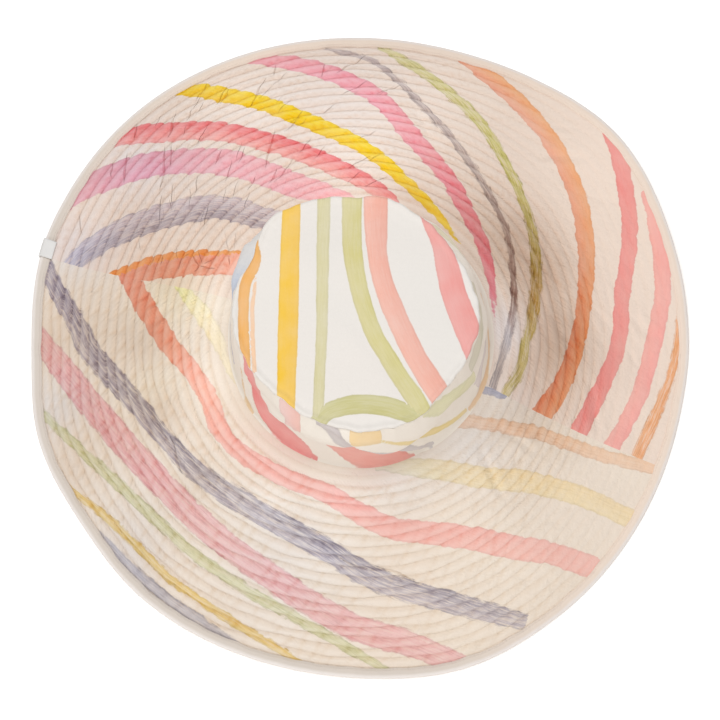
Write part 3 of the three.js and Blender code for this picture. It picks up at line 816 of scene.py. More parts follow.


# %% [markdown]
# ## Folds in the brim
# Deeper folds cross several rings. The ones that show in the photograph are listed one by one, and a
# seeded dice adds smaller ones that lean the way the puckers lean. They are sharpest on the left of
# the back half, where the cloth was gathered most, so only there does a fold get a sharp line.

# %% Folds
# Angle, fraction out, run in degrees and in fraction to the other end, half width and depth in mm,
# and how sharp the line at its bottom is, from 0 to 1
BRIM_FOLDS = [
    (33, 0.25, -8, 0.1, 3.0, 1.6, 0.0), (30, 0.4, -34, 0.0, 3.2, 0.9, 0.0),
    (12, 0.3, -10, 0.07, 2.6, 1.2, 0.0), (206, 0.4, 11, 0.05, 3.4, 1.9, 0.8),
    (331, 0.33, 7, 0.09, 3.0, 1.3, 0.0), (340, 0.62, 12, -0.1, 2.8, 1.2, 0.0),
    (70, 0.45, 8, 0.15, 2.6, 1.0, 0.0), (118, 0.35, -7, 0.18, 2.8, 1.0, 0.5),
    (141, 0.62, -8, 0.14, 3.0, 1.2, 0.6), (190, 0.7, -7, 0.14, 3.0, 1.1, 0.0),
    (246, 0.56, 7, 0.14, 3.0, 1.0, 0.0), (279, 0.46, 7, 0.16, 3.0, 1.2, 0.0),
    (304, 0.74, 6, 0.13, 3.0, 1.0, 0.0), (95, 0.78, -6, 0.12, 3.0, 1.0, 0.4),
    (48, 0.68, -7, 0.14, 3.0, 1.2, 0.0), (170, 0.32, 7, 0.12, 3.0, 1.2, 0.0),
    (229, 0.3, 6, 0.1, 2.8, 0.9, 0.0), (8, 0.72, -6, 0.12, 3.0, 1.1, 0.0),
    (159, 0.46, -3.5, 0.0, 1.6, 0.8, 1.0), (158, 0.41, -3, 0.01, 1.6, 0.8, 1.0),
    (158, 0.32, -3.5, 0.01, 1.6, 0.9, 1.0), (154.5, 0.33, -2.5, -0.03, 1.5, 0.7, 0.8),
    (152, 0.29, 2.5, -0.06, 1.6, 0.8, 1.0), (154.5, 0.23, 2.5, 0.01, 1.5, 0.7, 0.8),
    (154.5, 0.23, -1, -0.08, 1.5, 0.7, 0.8), (153.5, 0.21, -6.5, -0.03, 1.6, 0.9, 1.0),
    (150, 0.1, -3.5, 0.03, 1.6, 0.8, 0.9), (119, 0.92, 3.5, -0.06, 1.8, 0.9, 1.0),
    (116, 0.84, 3, -0.06, 1.8, 0.8, 1.0), (108.5, 0.83, 6, -0.14, 1.8, 0.7, 0.4),
    (124, 0.83, 2.5, -0.04, 1.8, 0.8, 1.0), (127, 0.86, 4.5, -0.08, 1.8, 0.9, 0.9),
    (129.5, 0.9, 2, -0.03, 1.8, 0.7, 1.0), (133.5, 0.95, 2.5, -0.05, 1.8, 0.8, 0.9),
    (139, 0.87, 5, -0.08, 1.8, 1.0, 0.9), (142, 0.9, 2.5, -0.04, 1.8, 0.7, 0.9),
    (132, 0.74, 3.5, -0.08, 1.8, 0.8, 0.7), (124.5, 0.55, 3.5, -0.04, 1.8, 0.8, 0.9),
    (106, 0.89, 1, -0.06, 1.6, 0.7, 0.9), (97, 0.85, 1, -0.08, 1.6, 0.7, 0.8),
    (115, 0.33, 4.5, -0.06, 1.6, 0.7, 0.8), (121.5, 0.34, 4.5, -0.04, 1.6, 0.7, 0.8),
    (262, 0.42, 22, 0.16, 2.6, 1.1, 0.3), (325, 0.02, 3, 0.34, 2.8, 1.1, 0.0),
    (318, 0.1, -6, 0.3, 3.0, 1.2, 0.0),
]
FOLD_COUNT = 105
# The angles between which the cloth was gathered most
GATHERED = (446, 523)


def seeded_folds(seed, lean, first_angle, last_angle):
    """Smaller folds, in rows like those above."""
    dice = np.random.default_rng(seed)
    folds = []
    for _ in range(FOLD_COUNT):
        out = dice.uniform(0.10, 0.86)
        climb = dice.uniform(0.03, 0.08)
        run = lean * climb * dice.uniform(60, 110) / (0.75 + 0.9 * out)
        place = dice.uniform(first_angle + 3, last_angle - 3)
        gathered = GATHERED[0] < place < GATHERED[1]
        sharp = dice.uniform(0.05, 0.38) if gathered else 0.0
        half = dice.uniform(1.3, 2.4)
        depth = dice.uniform(0.35, 1.2) * (1 if gathered else 0.55)
        folds.append((place, out, run, climb, half, depth, sharp))
    return folds


print("folds placed by hand:", len(BRIM_FOLDS))

# %% [markdown]
# ## Pressing the folds
# A fold is a path like a stripe's, only short and slightly bent. The cloth is pressed down along it,
# deepest in the middle of its width, and rises a little at both sides. The mesh is too coarse for the
# sharp line at the bottom of a fold, so the material draws that line from one more UV map, as a
# groove in the relief and as painted shade.

# %% Pressing the folds
def fold_path(dice, angle, fraction, run, climb, half):
    """A slightly bent path from one end of a fold to the other."""
    first = np.array(on_brim(angle, fraction))
    last = np.array(on_brim(angle + run, fraction + climb))
    span = last - first
    sideways = np.array([-span[1], span[0]])
    bends = [first + span * part + sideways * dice.uniform(-0.05, 0.05) for part in (0.33, 0.67)]
    spots = [(*spot, half) for spot in (first, *bends, last)]
    return brush_path(spots, spacing=1.5), first + span / 2


def press_folds(piece, x, y, folds, seed):
    """Presses the folds into the brim and returns how far at each point. The UV map "crease" gets the
    place across the nearest fold and how far it is to that fold's nearer end."""
    dice = np.random.default_rng(seed)
    corners, faces = corner_points(piece.data), corner_faces(piece.data)
    nearest = np.full(len(piece.data.polygons), np.inf)
    line = np.column_stack([np.full(len(corners), FAR_AWAY / UV_MM), np.zeros(len(corners))])
    pressed = np.zeros(len(x))
    for angle, fraction, run, climb, half, depth, sharp in folds:
        path, middle = fold_path(dice, angle, fraction, run, climb, half)
        length = float(path_steps(path).sum())
        near = np.flatnonzero(np.hypot(x - middle[0], y - middle[1]) < length / 2 + 6 * half)
        if len(near) == 0:
            continue
        _, across, along, _ = stroke_distances(np.column_stack([x[near], y[near]]), path)
        to_end = np.minimum(along, length - along)
        away = np.hypot(across, np.clip(-to_end, 0, None))
        shape = np.exp(-(away / half) ** 2) - 0.3 * np.exp(-((away - 2 * half) / half) ** 2)
        pressed[near] += depth * shape * np.clip(0.15 + to_end / 6, 0, 1)
        # A face takes the fold that all its corners are nearest to
        full_across, full_end = np.full(len(x), FAR_AWAY), np.zeros(len(x))
        full_across[near], full_end[near] = across, to_end * sharp
        distance = np.hypot(full_across, np.clip(-full_end, 0, None))
        summed = np.bincount(faces, weights=distance[corners])
        closer = summed < nearest
        nearest[closer] = summed[closer]
        pick = closer[faces]
        line[pick, 0] = full_across[corners][pick] / UV_MM
        line[pick, 1] = full_end[corners][pick] / UV_MM
    write_map(piece, "crease", line[:, 0], line[:, 1])
    return pressed


# %% [markdown]
# ## Painted shade and light on the brim
# Wide, soft spots paint shade and some light into the brim's colour. The cloth is painted darkest and
# warmest in the hollow right of the crown, where light bounces about between the crown and the brim,
# and lighter in a few places. The spots give two numbers at each point.

# %% Painted shade and light of the brim
# Angle, distance from the crown's axis, reach, and how much painted shade darkens the cloth there,
# or painted light lightens it where it is negative
PAINTED_SHADING_SPOTS = [
    (-2, 138, 34, 0.25), (30, 134, 36, 0.28), (-22, 122, 28, 0.14), (52, 118, 26, 0.12),
    (0, 138, 18, 0.15), (22, 142, 20, 0.18), (38, 136, 16, 0.1), (70, 104, 20, 0.09),
    (0, 103, 15, -0.22), (20, 103, 15, -0.12), (-20, 104, 15, -0.12), (172, 205, 42, 0.12),
    (196, 205, 40, 0.11), (150, 190, 36, 0.09), (178, 165, 26, 0.1), (222, 215, 36, 0.08),
    (160, 150, 17, 0.08), (180, 150, 17, 0.12), (200, 151, 17, 0.13), (221, 151, 14, 0.1),
    (178, 229, 18, 0.13), (203, 228, 18, 0.08), (243, 222, 20, 0.08), (165, 104, 22, -0.12),
    (195, 104, 22, -0.1), (92, 150, 45, -0.06), (110, 190, 45, -0.06), (78, 190, 45, -0.05),
    (9, 146, 19, 0.13), (105, 150, 75, -0.09), (70, 145, 36, -0.06), (242, 133, 14, -0.06),
    (240, 133, 12, -0.05), (8, 103, 14, -0.06), (60, 126, 18, -0.06), (90, 128, 28, -0.09),
    (140, 142, 16, 0.06), (163, 137, 14, 0.05), (200, 150, 15, 0.05), (262, 150, 16, -0.06),
    (282, 124, 18, 0.05), (300, 168, 34, -0.05), (140, 218, 30, -0.06), (118, 212, 30, -0.06),
    (152, 214, 20, -0.05), (90, 188, 60, -0.08), (70, 208, 40, -0.06), (115, 210, 40, -0.05),
    (262, 104, 22, -0.1), (283, 104, 22, -0.08),
]

# Where painted shade makes the cloth yellower, or painted light makes it bluer where it is negative,
# in the same form
PAINTED_TINT_SPOTS = [
    (135, 200, 60, -0.05), (95, 200, 60, -0.05), (250, 160, 55, -0.08), (215, 200, 45, -0.05),
    (160, 218, 26, -0.13), (190, 222, 24, -0.11), (222, 220, 24, -0.07), (140, 215, 30, -0.07),
    (8, 104, 18, -0.08), (340, 112, 20, -0.06), (315, 106, 26, -0.1), (285, 106, 26, -0.06),
    (0, 104, 18, -0.06), (165, 136, 24, 0.1), (192, 150, 20, 0.04),
]


def soft_spots(x, y, spots):
    """A factor of about 1 at each point, from spots like those above."""
    factor = np.ones(len(x))
    for angle, distance, reach, painted_shade_amount in spots:
        turn = radians(angle)
        away = np.hypot(x - distance * cos(turn), y - distance * sin(turn))
        factor *= 1 - painted_shade_amount * np.exp(-(away / reach) ** 2)
    return factor


print("soft spots of tone:", len(PAINTED_SHADING_SPOTS) + len(PAINTED_TINT_SPOTS))

# %% [markdown]
# ## What quilting does to the print
# The cloth is printed first and quilted later, so the gathering drags the stripes a little along
# each ring, and their edges step from row to row. Each point also keeps the number of its row, from
# which the material draws the stitches and the shade beside them.

# %% Drag of the print, and row numbers
FAINT_PITCH = 7.0


def drag_of_print(seed, lean, row, strength):
    """How far quilting dragged the printed cloth along each ring, in millimetres, so that a stripe's
    edge steps from row to row. The rings of stitches themselves stay where they are."""
    part = np.mod(row, 1)
    steps = np.random.default_rng(seed).uniform(-0.6, 0.6, QUILT_ROWS + 1)
    drag = steps[np.floor(row).astype(int)] + lean * 1.8 * (part - 0.5)
    return np.where(part > 0, drag * (0.05 + 0.95 * strength), 0)


def ring_number(station):
    """The row at each point, for the material. On the smooth strip by the crown faint rings go on, 7 mm
    apart, as numbers below 0: the cloth there has faint lines, drawn without ridges, as painted shade
    and a faint relief. Under the binding it is half a row past the last."""
    out, row = STATION_MM[station], STATION_ROW[station]
    number = np.where(row > 0, row, (out - SMOOTH_ZONE) / FAINT_PITCH)
    return np.where(out > SMOOTH_ZONE, QUILT_ROWS + 0.5, number)


# %% [markdown]
# ## Laying a half of the brim
# The blank's two layers go to the brim's middle surface and then stand off it along its slope: by
# half the stitched thickness everywhere, and by the wadding between the rings. The upper side stands
# fuller than the lower. Near the seams the puckers and folds fade out, so that both halves come to
# one height and one fullness where they are sewn together, and at the crown and under the binding
# the cloth is stitched flat. Slower waves run through the whole brim.

# %% Both halves of the brim
STEPS = 470
# How high the wadding stands above and below, and how far from a seam the cloth starts to flatten
UPPER_PUFF, LOWER_PUFF = 1.55, 0.6
SEWN_REACH = 14.0
# Mean distance between two rings, and the radius at which the material measures along them
MEAN_PITCH = 7.1
MEAN_RADIUS = 165.0
# How strong the faint rings by the crown are, in painted shade and faint relief
FAINT_STRENGTH = 0.55


def brim_half(name, first_angle, last_angle, seed, lean, stripes):
    """Half of the brim, from one seam to the other. Its puckers lean by 1 or -1."""
    piece = new_object(name, spun_blank(len(stations), first_angle, last_angle, STEPS))
    station, angle, layer = read_ring(piece, first_angle)
    start = HEAD_RADIUS + HAIR
    pitch = (around(BRIM_SECTIONS, 1, angle) - BINDING_WIDTH - start - SMOOTH_ZONE) / QUILT_ROWS
    row = STATION_ROW[station]
    radius = start + STATION_MM[station] + row * pitch
    # The two ends draw back by a hair, so that the halves meet and don't cross
    draw_back = np.degrees(0.1 * HAIR / radius)
    angle = angle + draw_back * (1 - 2 * (angle - first_angle) / (last_angle - first_angle))
    turn = np.radians(angle)
    along = np.radians(angle - first_angle) * (start + SMOOTH_ZONE + row * MEAN_PITCH)

    full, pucker = quilting(seed, lean, row, along)
    strength = ring_strength(angle, radius)
    full = full * (0.15 + 0.85 * strength)
    to_seam = np.minimum(angle - first_angle, last_angle - angle) * (radius * pi / 180)
    apart = np.clip(to_seam / SEWN_REACH, 0, 1)
    sewn = 0.85 * puff(np.mod(row, 1)) * (0.15 + 0.85 * strength)
    full = full * apart + sewn * (1 - apart)
    pucker = pucker * apart

    # Rings of stitches wander a little, and the whole brim is uneven
    inside, before_end = np.clip(row, 0, 1), np.clip(QUILT_ROWS - row, 0, 1)
    wander = smooth_waves(seed + 5, (37, 61, 83), along, row * 23) * 0.7 * inside * before_end
    radius = radius + wander * apart
    x, y = radius * np.cos(turn), radius * np.sin(turn)
    folds = BRIM_FOLDS + seeded_folds(seed + 7, lean, first_angle, last_angle)
    uneven = (smooth_waves(seed + 9, (46, 58, 71, 95), x, y) * 0.8
              - press_folds(piece, x, y, folds, seed + 1))
    dip = 0.05 * np.exp(-(to_seam / 2.5) ** 2) * inside
    free = np.clip(row / 3, 0, 1) * np.clip((QUILT_ROWS - row) / 3, 0, 1)
    middle = brim_height(angle, radius) + (uneven * apart - dip) * free

    # The layers stand off the middle surface along its slope
    slope = brim_height(angle, radius + 0.5) - brim_height(angle, radius - 0.5)
    slope = slope * inside * before_end
    tilt = 1 / np.sqrt(1 + slope ** 2)
    stand = STITCH_HALF + full * np.where(layer > 0, UPPER_PUFF, LOWER_PUFF)
    x -= layer * stand * slope * tilt * np.cos(turn)
    y -= layer * stand * slope * tilt * np.sin(turn)
    lay(piece, x, y, middle + layer * stand * tilt)
    sharpen(piece)

    pulled = turn + drag_of_print(seed + 3, lean, row, strength) / radius
    flat = np.column_stack([radius * np.cos(pulled), radius * np.sin(pulled)])
    print_stripes(piece, flat, stripes, brim_paths(stripes), plain=layer < 0)
    # Of the UV maps below, the first carries the soft spots of painted shade and light, and the second
    # the puckers' depth and the rings' strength, from which the material paints shade in the puckers
    # and beside the rings.
    by_crown = np.where(row > 0, 1, FAINT_STRENGTH)
    corners = corner_points(piece.data)
    for layer_name, u, v in (
        ("painted_shading", soft_spots(x, y, PAINTED_SHADING_SPOTS), soft_spots(x, y, PAINTED_TINT_SPOTS)),
        ("pucker", pucker * strength, strength * by_crown),
        ("quilt", turn * MEAN_RADIUS / UV_MM, ring_number(station)),
    ):
        write_map(piece, layer_name, u[corners], v[corners])
    print(name, "has", sum(len(face.vertices) - 2 for face in piece.data.polygons), "triangles")
    return piece


brim_front = brim_half("quilted_brim_front", BACK_SEAM, FRONT_SEAM, 11, 1, FRONT_STRIPES)
brim_back = brim_half("quilted_brim_back", FRONT_SEAM, BACK_SEAM + 360, 23, -1, BACK_STRIPES)

# %% [markdown]
# ## The binding
# A strip of cotton cut on the bias is folded over the brim's edge and stitched down. Cut that way it
# stretches round the curve, and it still puckers a little. It is spun as a flat ring in two layers
# and then folded: the stations across it run from its upper lip over the edge to its lower lip.

# %% Binding
BINDING_STATIONS = 21
BINDING_STEPS = 480
# The fold starts this far inside the edge
BINDING_INSET = 1.6


def folded_strip(share, lip, wall, hold, rounding):
    """A point on a strip folded over an edge, and the direction that faces out of the fold."""
    flat_run = wall - lip
    bend = pi / 2 * (hold + rounding)
    length = 2 * flat_run + bend
    run = share * length
    over = np.clip((run - flat_run) / bend, 0, 1) * pi
    under = np.where(run > flat_run + bend, lip + length - run, wall)
    out = np.where(run < flat_run, lip + run, under)
    return out + rounding * np.sin(over), hold * np.cos(over), np.sin(over), np.cos(over)


def edge_binding():
    """The strip folded over the brim's edge, all the way round."""
    blank = spun_blank(BINDING_STATIONS, 0, 360, BINDING_STEPS, closed=True)
    piece = new_object("bias_binding", blank)
    station, angle, layer = read_ring(piece, 0)
    reach = around(BRIM_SECTIONS, 1, angle)
    along = np.radians(angle) * MEAN_REACH
    pucker = (smooth_waves(41, (7.3, 9.7, 13.1, 5.9), along) * 0.5
              + smooth_waves(42, (33, 51, 77), along))
    lip = reach - BINDING_WIDTH + GAP * 2 + 0.35 * smooth_waves(43, (17, 29, 43), along)
    wall = reach - BINDING_INSET
    share = station / (BINDING_STATIONS - 1)
    hold = STITCH_HALF + HAIR + BINDING_CLOTH / 2
    out, up, face_out, face_up = folded_strip(share, lip, wall, hold, 1.1)
    # The strip is thin at its stitched lip and swells between the lip and the edge
    pressed = np.clip((out - lip) / 2.2, 0, 1)
    thick = np.where(layer > 0, BINDING_CLOTH * (-0.5 + 0.2 + 0.8 * pressed), -BINDING_CLOTH / 2)
    swell = 0.4 * np.sin(pi * np.clip((out - lip) / (wall - lip), 0, 1)) ** 0.8
    out = out + thick * face_out
    up = up + thick * face_up + np.clip(face_up, 0, 1) * (swell * (1 + 0.35 * pucker))
    z = np.maximum(brim_edge(angle) + up, 0.0)
    turn = np.radians(angle)
    lay(piece, out * np.cos(turn), out * np.sin(turn), z)
    sharpen(piece)
    corners = corner_points(piece.data)
    write_map(piece, "strip", along[corners] / UV_MM, share[corners])
    print("binding from z", round(z.min(), 2), "to", round(z.max(), 2), "mm")
    return piece


binding = edge_binding()

# %% [markdown]
# ## The shape of the crown's side
# The side of the crown is one band of doubled cotton, sewn to the brim below and to the round top
# above. Nobody wears the hat here, so the soft band slouches: across the front it has sunk into a
# roll over a crease, it bags out a little over the brim in two places, and elsewhere it stands in
# shallow dents. Each of these is a function of the angle and the height, and they add up.

# %% Slouch, folds and bags of the side
SIDE_TOP, SIDE_BOTTOM = TIP_HEIGHT - CLOTH - GAP, SEAM_HEIGHT - 2
# Radius for lengths round the band, about its mean
SIDE_MEAN = 87

# Folds in the side, each from left to right: how far the cloth above it stands out, how broad the
# roll is, and then its angles and fractions up
SIDE_FOLDS = [
    (2.6, 6.0, [(250, 1.0), (258, 0.92), (264, 0.84), (272, 0.66), (281, 0.42), (289, 0.25),
     (300, 0.06)]),
    (1.8, 4.0, [(222, 0.38), (233, 0.5), (243, 0.57), (250, 0.57), (258, 0.53), (265, 0.48)]),
    (1.5, 4.0, [(334, 0.15), (346, 0.36), (358, 0.52), (372, 0.6), (390, 0.68)]),
    (1.5, 4.0, [(386, 0.3), (398, 0.52), (408, 0.74), (422, 0.96)]),
    (1.4, 3.5, [(196, 0.95), (203, 0.7), (208, 0.45), (214, 0.25), (224, 0.08)]),
    (1.4, 4.0, [(144, 0.96), (152, 0.66), (160, 0.36), (172, 0.16)]),
]

# Where the side bags out: middle angle, half its spread, how far, and the fraction of the way up
# where it stands out most and over which it does
SIDE_BAGS = [(154, 17, 7.2, 0.84, 0.34), (394, 22, 3.4, 0.70, 0.40)]


def side_radius(angle, height):
    """The band's outside, as in the solid: a cone with a tuck at the crease and a roll above it."""
    crease, bulge = around(SLOUCH_SECTIONS, 1, angle), around(SLOUCH_SECTIONS, 2, angle)
    climb = (height - SIDE_BOTTOM) / (SIDE_TOP - SIDE_BOTTOM)
    plain = HEAD_RADIUS + (around(TIP_SECTIONS, 1, angle) - HEAD_RADIUS) * climb
    above = np.clip((height - crease) / (SIDE_TOP - crease), 0, 1)
    below = np.clip((crease - height) / (crease - SIDE_BOTTOM), 0, 1)
    out = bulge * np.sin(pi * above ** 0.6)
    tuck = np.where(height <= crease, bulge * 0.55 * np.cos(pi / 2 * np.sqrt(below)), 0)
    return plain + out - tuck


def side_bags(angle, share):
    """How far the side bags out at each point. The seam with the tip stays where it is."""
    out = np.zeros(len(angle))
    for middle, spread, push, height, reach in SIDE_BAGS:
        window = np.clip(1 - ((angle - middle) / spread) ** 2, 0, 1) ** 1.3
        out += push * window * np.exp(-((share - height) / reach) ** 2)
    return out * np.clip((1 - share) * 9, 0, 1)


def seam_wave(turn):
    """How far the seam between side and tip puckers in and out, in millimetres."""
    return (0.35 * np.cos(13 * turn + 1.3) + 0.3 * np.cos(23 * turn + 4.1)
            + 0.25 * np.cos(41 * turn + 2.2))


def side_path(points):
    """A path on the squashed band, from rows of angle, fraction up and half width."""
    return brush_path([(radians(a - 90) * SIDE_MEAN, up * SIDE_BAND, half) for a, up, half in points])


def side_ledges(along, share):
    """How far the folds push the cloth out above them and pull it in below them."""
    out = np.zeros(len(along))
    flat = np.column_stack([along, share * SIDE_BAND])
    for push, reach, points in SIDE_FOLDS:
        path = side_path([(a, up, 0) for a, up in points])
        _, across, run, _ = stroke_distances(flat, path)
        length = float(path_steps(path).sum())
        fade = np.clip(np.minimum(run, length - run) / 5 + 0.3, 0, 1)
        out += push * np.exp(-(across / reach) ** 2) * np.tanh(across / 0.9) * fade
    return out * np.clip(share * 7, 0, 1) * np.clip((1 - share) * 9, 0, 1)


print("folds in the side:", len(SIDE_FOLDS), "and bags:", len(SIDE_BAGS))

# %% [markdown]
# ## Laying the crown's side
# The band is another ring blank. Its first stations are its foot, which turns out and lies on the
# brim's inner edge, and the rest climb evenly to the seam with the top. The seams gather the cloth
# above the foot and below the top into tiny pleats, which fade out within a centimetre.

# %% Crown side
# The foot in rows of millimetres out, and up off the brim
SIDE_FOOT = [(0.0, -2.6), (0.05, 0.06), (1.9, 0.08), (1.25, 0.35),
             (0.75, 0.8), (0.4, 1.5), (0.15, 2.6), (0.0, 4.2)]
FOOT = len(SIDE_FOOT)
SIDE_STATIONS = FOOT + 29
ROUND_STEPS = 300


def crown_side():
    """The band from the brim's inner edge to the seam with the top, all the way round."""
    blank = spun_blank(SIDE_STATIONS, 90, 450, ROUND_STEPS, closed=True)
    piece = new_object("crown_side_cloth", blank)
    station, angle, layer = read_ring(piece, 90)
    rise = SIDE_TOP - SIDE_BOTTOM
    share = np.clip((station - FOOT + 3.0) / (SIDE_STATIONS - FOOT + 2), 0, 1)
    lip_out, lip_up = np.array(SIDE_FOOT + [(0.0, 0.0)])[np.minimum(station, FOOT)].T
    on_foot = brim_height(angle, HEAD_RADIUS + lip_out) + STITCH_HALF + lip_up
    at_foot = station < FOOT
    height = np.where(at_foot, on_foot, SIDE_BOTTOM + share * rise)
    share = np.where(at_foot, (height - SIDE_BOTTOM) / rise, share)
    along = np.radians(angle - 90) * SIDE_MEAN
    turn = np.radians(angle)

    dents = smooth_waves(61, (61, 87, 118), along + 0.8 * height, height * 1.9) * 1.2
    wrinkles = smooth_waves(62, (17, 23, 31), along * 0.4, height * 1.3 + along * 0.15) * 0.35
    by_seams = np.exp(-share * 9) + np.exp(-(1 - share) * 9)
    gathers = smooth_waves(63, (5.7, 8.3, 11.9), along) * 0.28 * by_seams
    radius = (side_radius(angle, height) + np.sin(pi * share) * (dents + wrinkles - 0.4)
              + side_ledges(along, share) + side_bags(angle, share)
              + gathers * np.clip(share * 12 - 0.6, 0, 1))
    radius = (np.where(at_foot, np.minimum(radius, HEAD_RADIUS), radius)
              + np.where(layer > 0, lip_out, 0))
    radius = (radius - np.where(layer > 0, 0, CLOTH - 0.2)
              + seam_wave(turn) * np.clip((share - 0.7) / 0.3, 0, 1))
    lay(piece, radius * np.cos(turn) + TIP_SHIFT * share, radius * np.sin(turn), height)
    face_outwards(piece)
    sharpen(piece)
    paths = [side_path(points) for *_, points in SIDE_STRIPES]
    flat = np.column_stack([along, share * SIDE_BAND])
    print_stripes(piece, flat, SIDE_STRIPES, paths, plain=layer < 0)
    return piece


side = crown_side()

# %% [markdown]
# ## The crown's top
# The top is a round of doubled cotton. Its edge isn't a true circle, because the soft crown has
# settled into short straight stretches between its dents. The seam allowance under the edge makes a
# low raised rim, and the middle sags in one long shallow fold.

# %% Crown top
TOP_STATIONS = 36
TOP_MEAN = 82


def crown_top():
    """The round of cloth on top, with its raised rim."""
    blank = spun_blank(TOP_STATIONS, 0, 360, ROUND_STEPS, start=0, closed=True)
    piece = new_object("crown_top_cloth", blank)
    blank_x, blank_y, layer = read_points(piece)
    share = np.hypot(blank_x, blank_y) / (BLANK_STEP * (TOP_STATIONS - 1))
    share = 1 - (1 - share) ** 1.35
    angle = np.degrees(np.arctan2(blank_y, blank_x)) % 360
    turn = np.radians(angle)
    edge = around(TIP_SECTIONS, 1, angle) + seam_wave(turn)
    radius = edge * share
    x, y = radius * np.cos(turn), radius * np.sin(turn)
    to_edge = edge - radius
    rim = np.exp(-((to_edge - 1.6) / 1.5) ** 2) - 0.35 * np.exp(-((to_edge - 5) / 1.6) ** 2)
    gathers = smooth_waves(72, (6.1, 8.9, 12.7), turn * TOP_MEAN) * 0.18 * np.exp(-to_edge / 5)
    sag = smooth_waves(71, (53, 77, 101, 140), x, y) * 0.55
    across_fold, along_fold = x * 0.8 + y * 0.6 + 6, x * 0.6 - y * 0.8 - 30
    fold = 0.9 * np.exp(-(across_fold / 7) ** 2) * np.exp(-(along_fold / 34) ** 2)
    loose = np.clip(to_edge / 12, 0, 1) * (sag - fold)
    upper = TIP_HEIGHT + rim * (1 + gathers) + loose + gathers - 0.5 * np.exp(-to_edge / 0.5)
    lower = TIP_HEIGHT - CLOTH + 0.05 + loose
    lay(piece, x + TIP_SHIFT, y, np.where(layer > 0, upper, lower))
    sharpen(piece)
    paths = [brush_path(points) for *_, points in TIP_STRIPES]
    flat = np.column_stack([x + TIP_SHIFT + CROWN_AXIS[0], y + CROWN_AXIS[1]])
    print_stripes(piece, flat, TIP_STRIPES, paths, plain=layer < 0)
    return piece


top = crown_top()

# %% [markdown]
# ## The tab
# A small white woven tab is folded over the binding at the end of the left seam. It is bare, and it
# is folded by the same function as the binding.

# %% Tab
TAB_ANGLE = 161.6
TAB_WIDTH = 13.0
TAB_DEPTH = 10.0
TAB_CLOTH = 1.0


def woven_tab():
    """The small tab, from above the binding over the edge to below it."""
    blank = bmesh.new()
    bmesh.ops.create_grid(blank, x_segments=14, y_segments=30, size=0.5 * MM)
    add_underlayer(blank)
    piece = new_object("woven_edge_tab", blank)
    across, share, layer = read_points(piece)
    angle = TAB_ANGLE - np.degrees(across * TAB_WIDTH / MEAN_REACH)
    reach = around(BRIM_SECTIONS, 1, angle)
    hold = STITCH_HALF + BINDING_CLOTH + GAP * 2 + TAB_CLOTH / 2
    wall = reach + GAP + TAB_CLOTH / 2 - 1.5
    lip = reach + TAB_CLOTH - TAB_DEPTH
    out, up, face_out, face_up = folded_strip(0.5 + share, lip, wall, hold, 1.5)
    thick = layer * TAB_CLOTH / 2
    turn = np.radians(angle)
    out = out + thick * face_out
    over_binding = 0.4 * np.clip(face_up, 0, 1) * np.clip((out - lip) / 4, 0, 1)
    lay(piece, out * np.cos(turn), out * np.sin(turn),
        brim_edge(angle) + up + thick * face_up + over_binding)
    face_outwards(piece)
    print("tab is", TAB_WIDTH, "mm wide and reaches", TAB_DEPTH, "mm in")
    return piece


tab = woven_tab()

# %% [markdown]
# ## Cloth and ink
# Plain-woven cotton is matt, with a faint sheen from its loose fibres. The ink lies in the threads
# like watercolour: it pools a little darker along a stripe's edge, thins out in clouds, and where
# the brush was dry the cloth shows through in long streaks. The same recipe serves the quilted brim
# and the plain crown, with other cloth colours.

# %% Ink on cloth
# Streaks in 100 mm across a stripe and along it, and how far apart in the noise two stripes are
STREAKS_ACROSS, STREAKS_ALONG, STREAK_SEED = 100.0, 6.0, 37.0


def read_map(material, name):
    """The two numbers of a UV map, as the X and Y of a vector."""
    return add_node(material, "SeparateXYZ", {"Vector": add_node(material, "UVMap", uv_map=name)})


def brush_streaks(material, stroke, ink):
    """Noise about 1 mm wide and 17 mm long, different in each stripe."""
    place = add_node(material, "CombineXYZ")
    for axis, source, scale in ((0, stroke.outputs["X"], STREAKS_ACROSS),
                                (1, stroke.outputs["Y"], STREAKS_ALONG),
                                (2, ink.outputs["X"], STREAK_SEED)):
        scaled = add_node(material, "Math", {0: source, 1: scale}, operation="MULTIPLY")
        feed(material, place.inputs[axis], scaled)
    return add_node(material, "TexNoise",
                    {"Vector": place, "Scale": 1.0, "Detail": 4.0, "Roughness": 0.72})


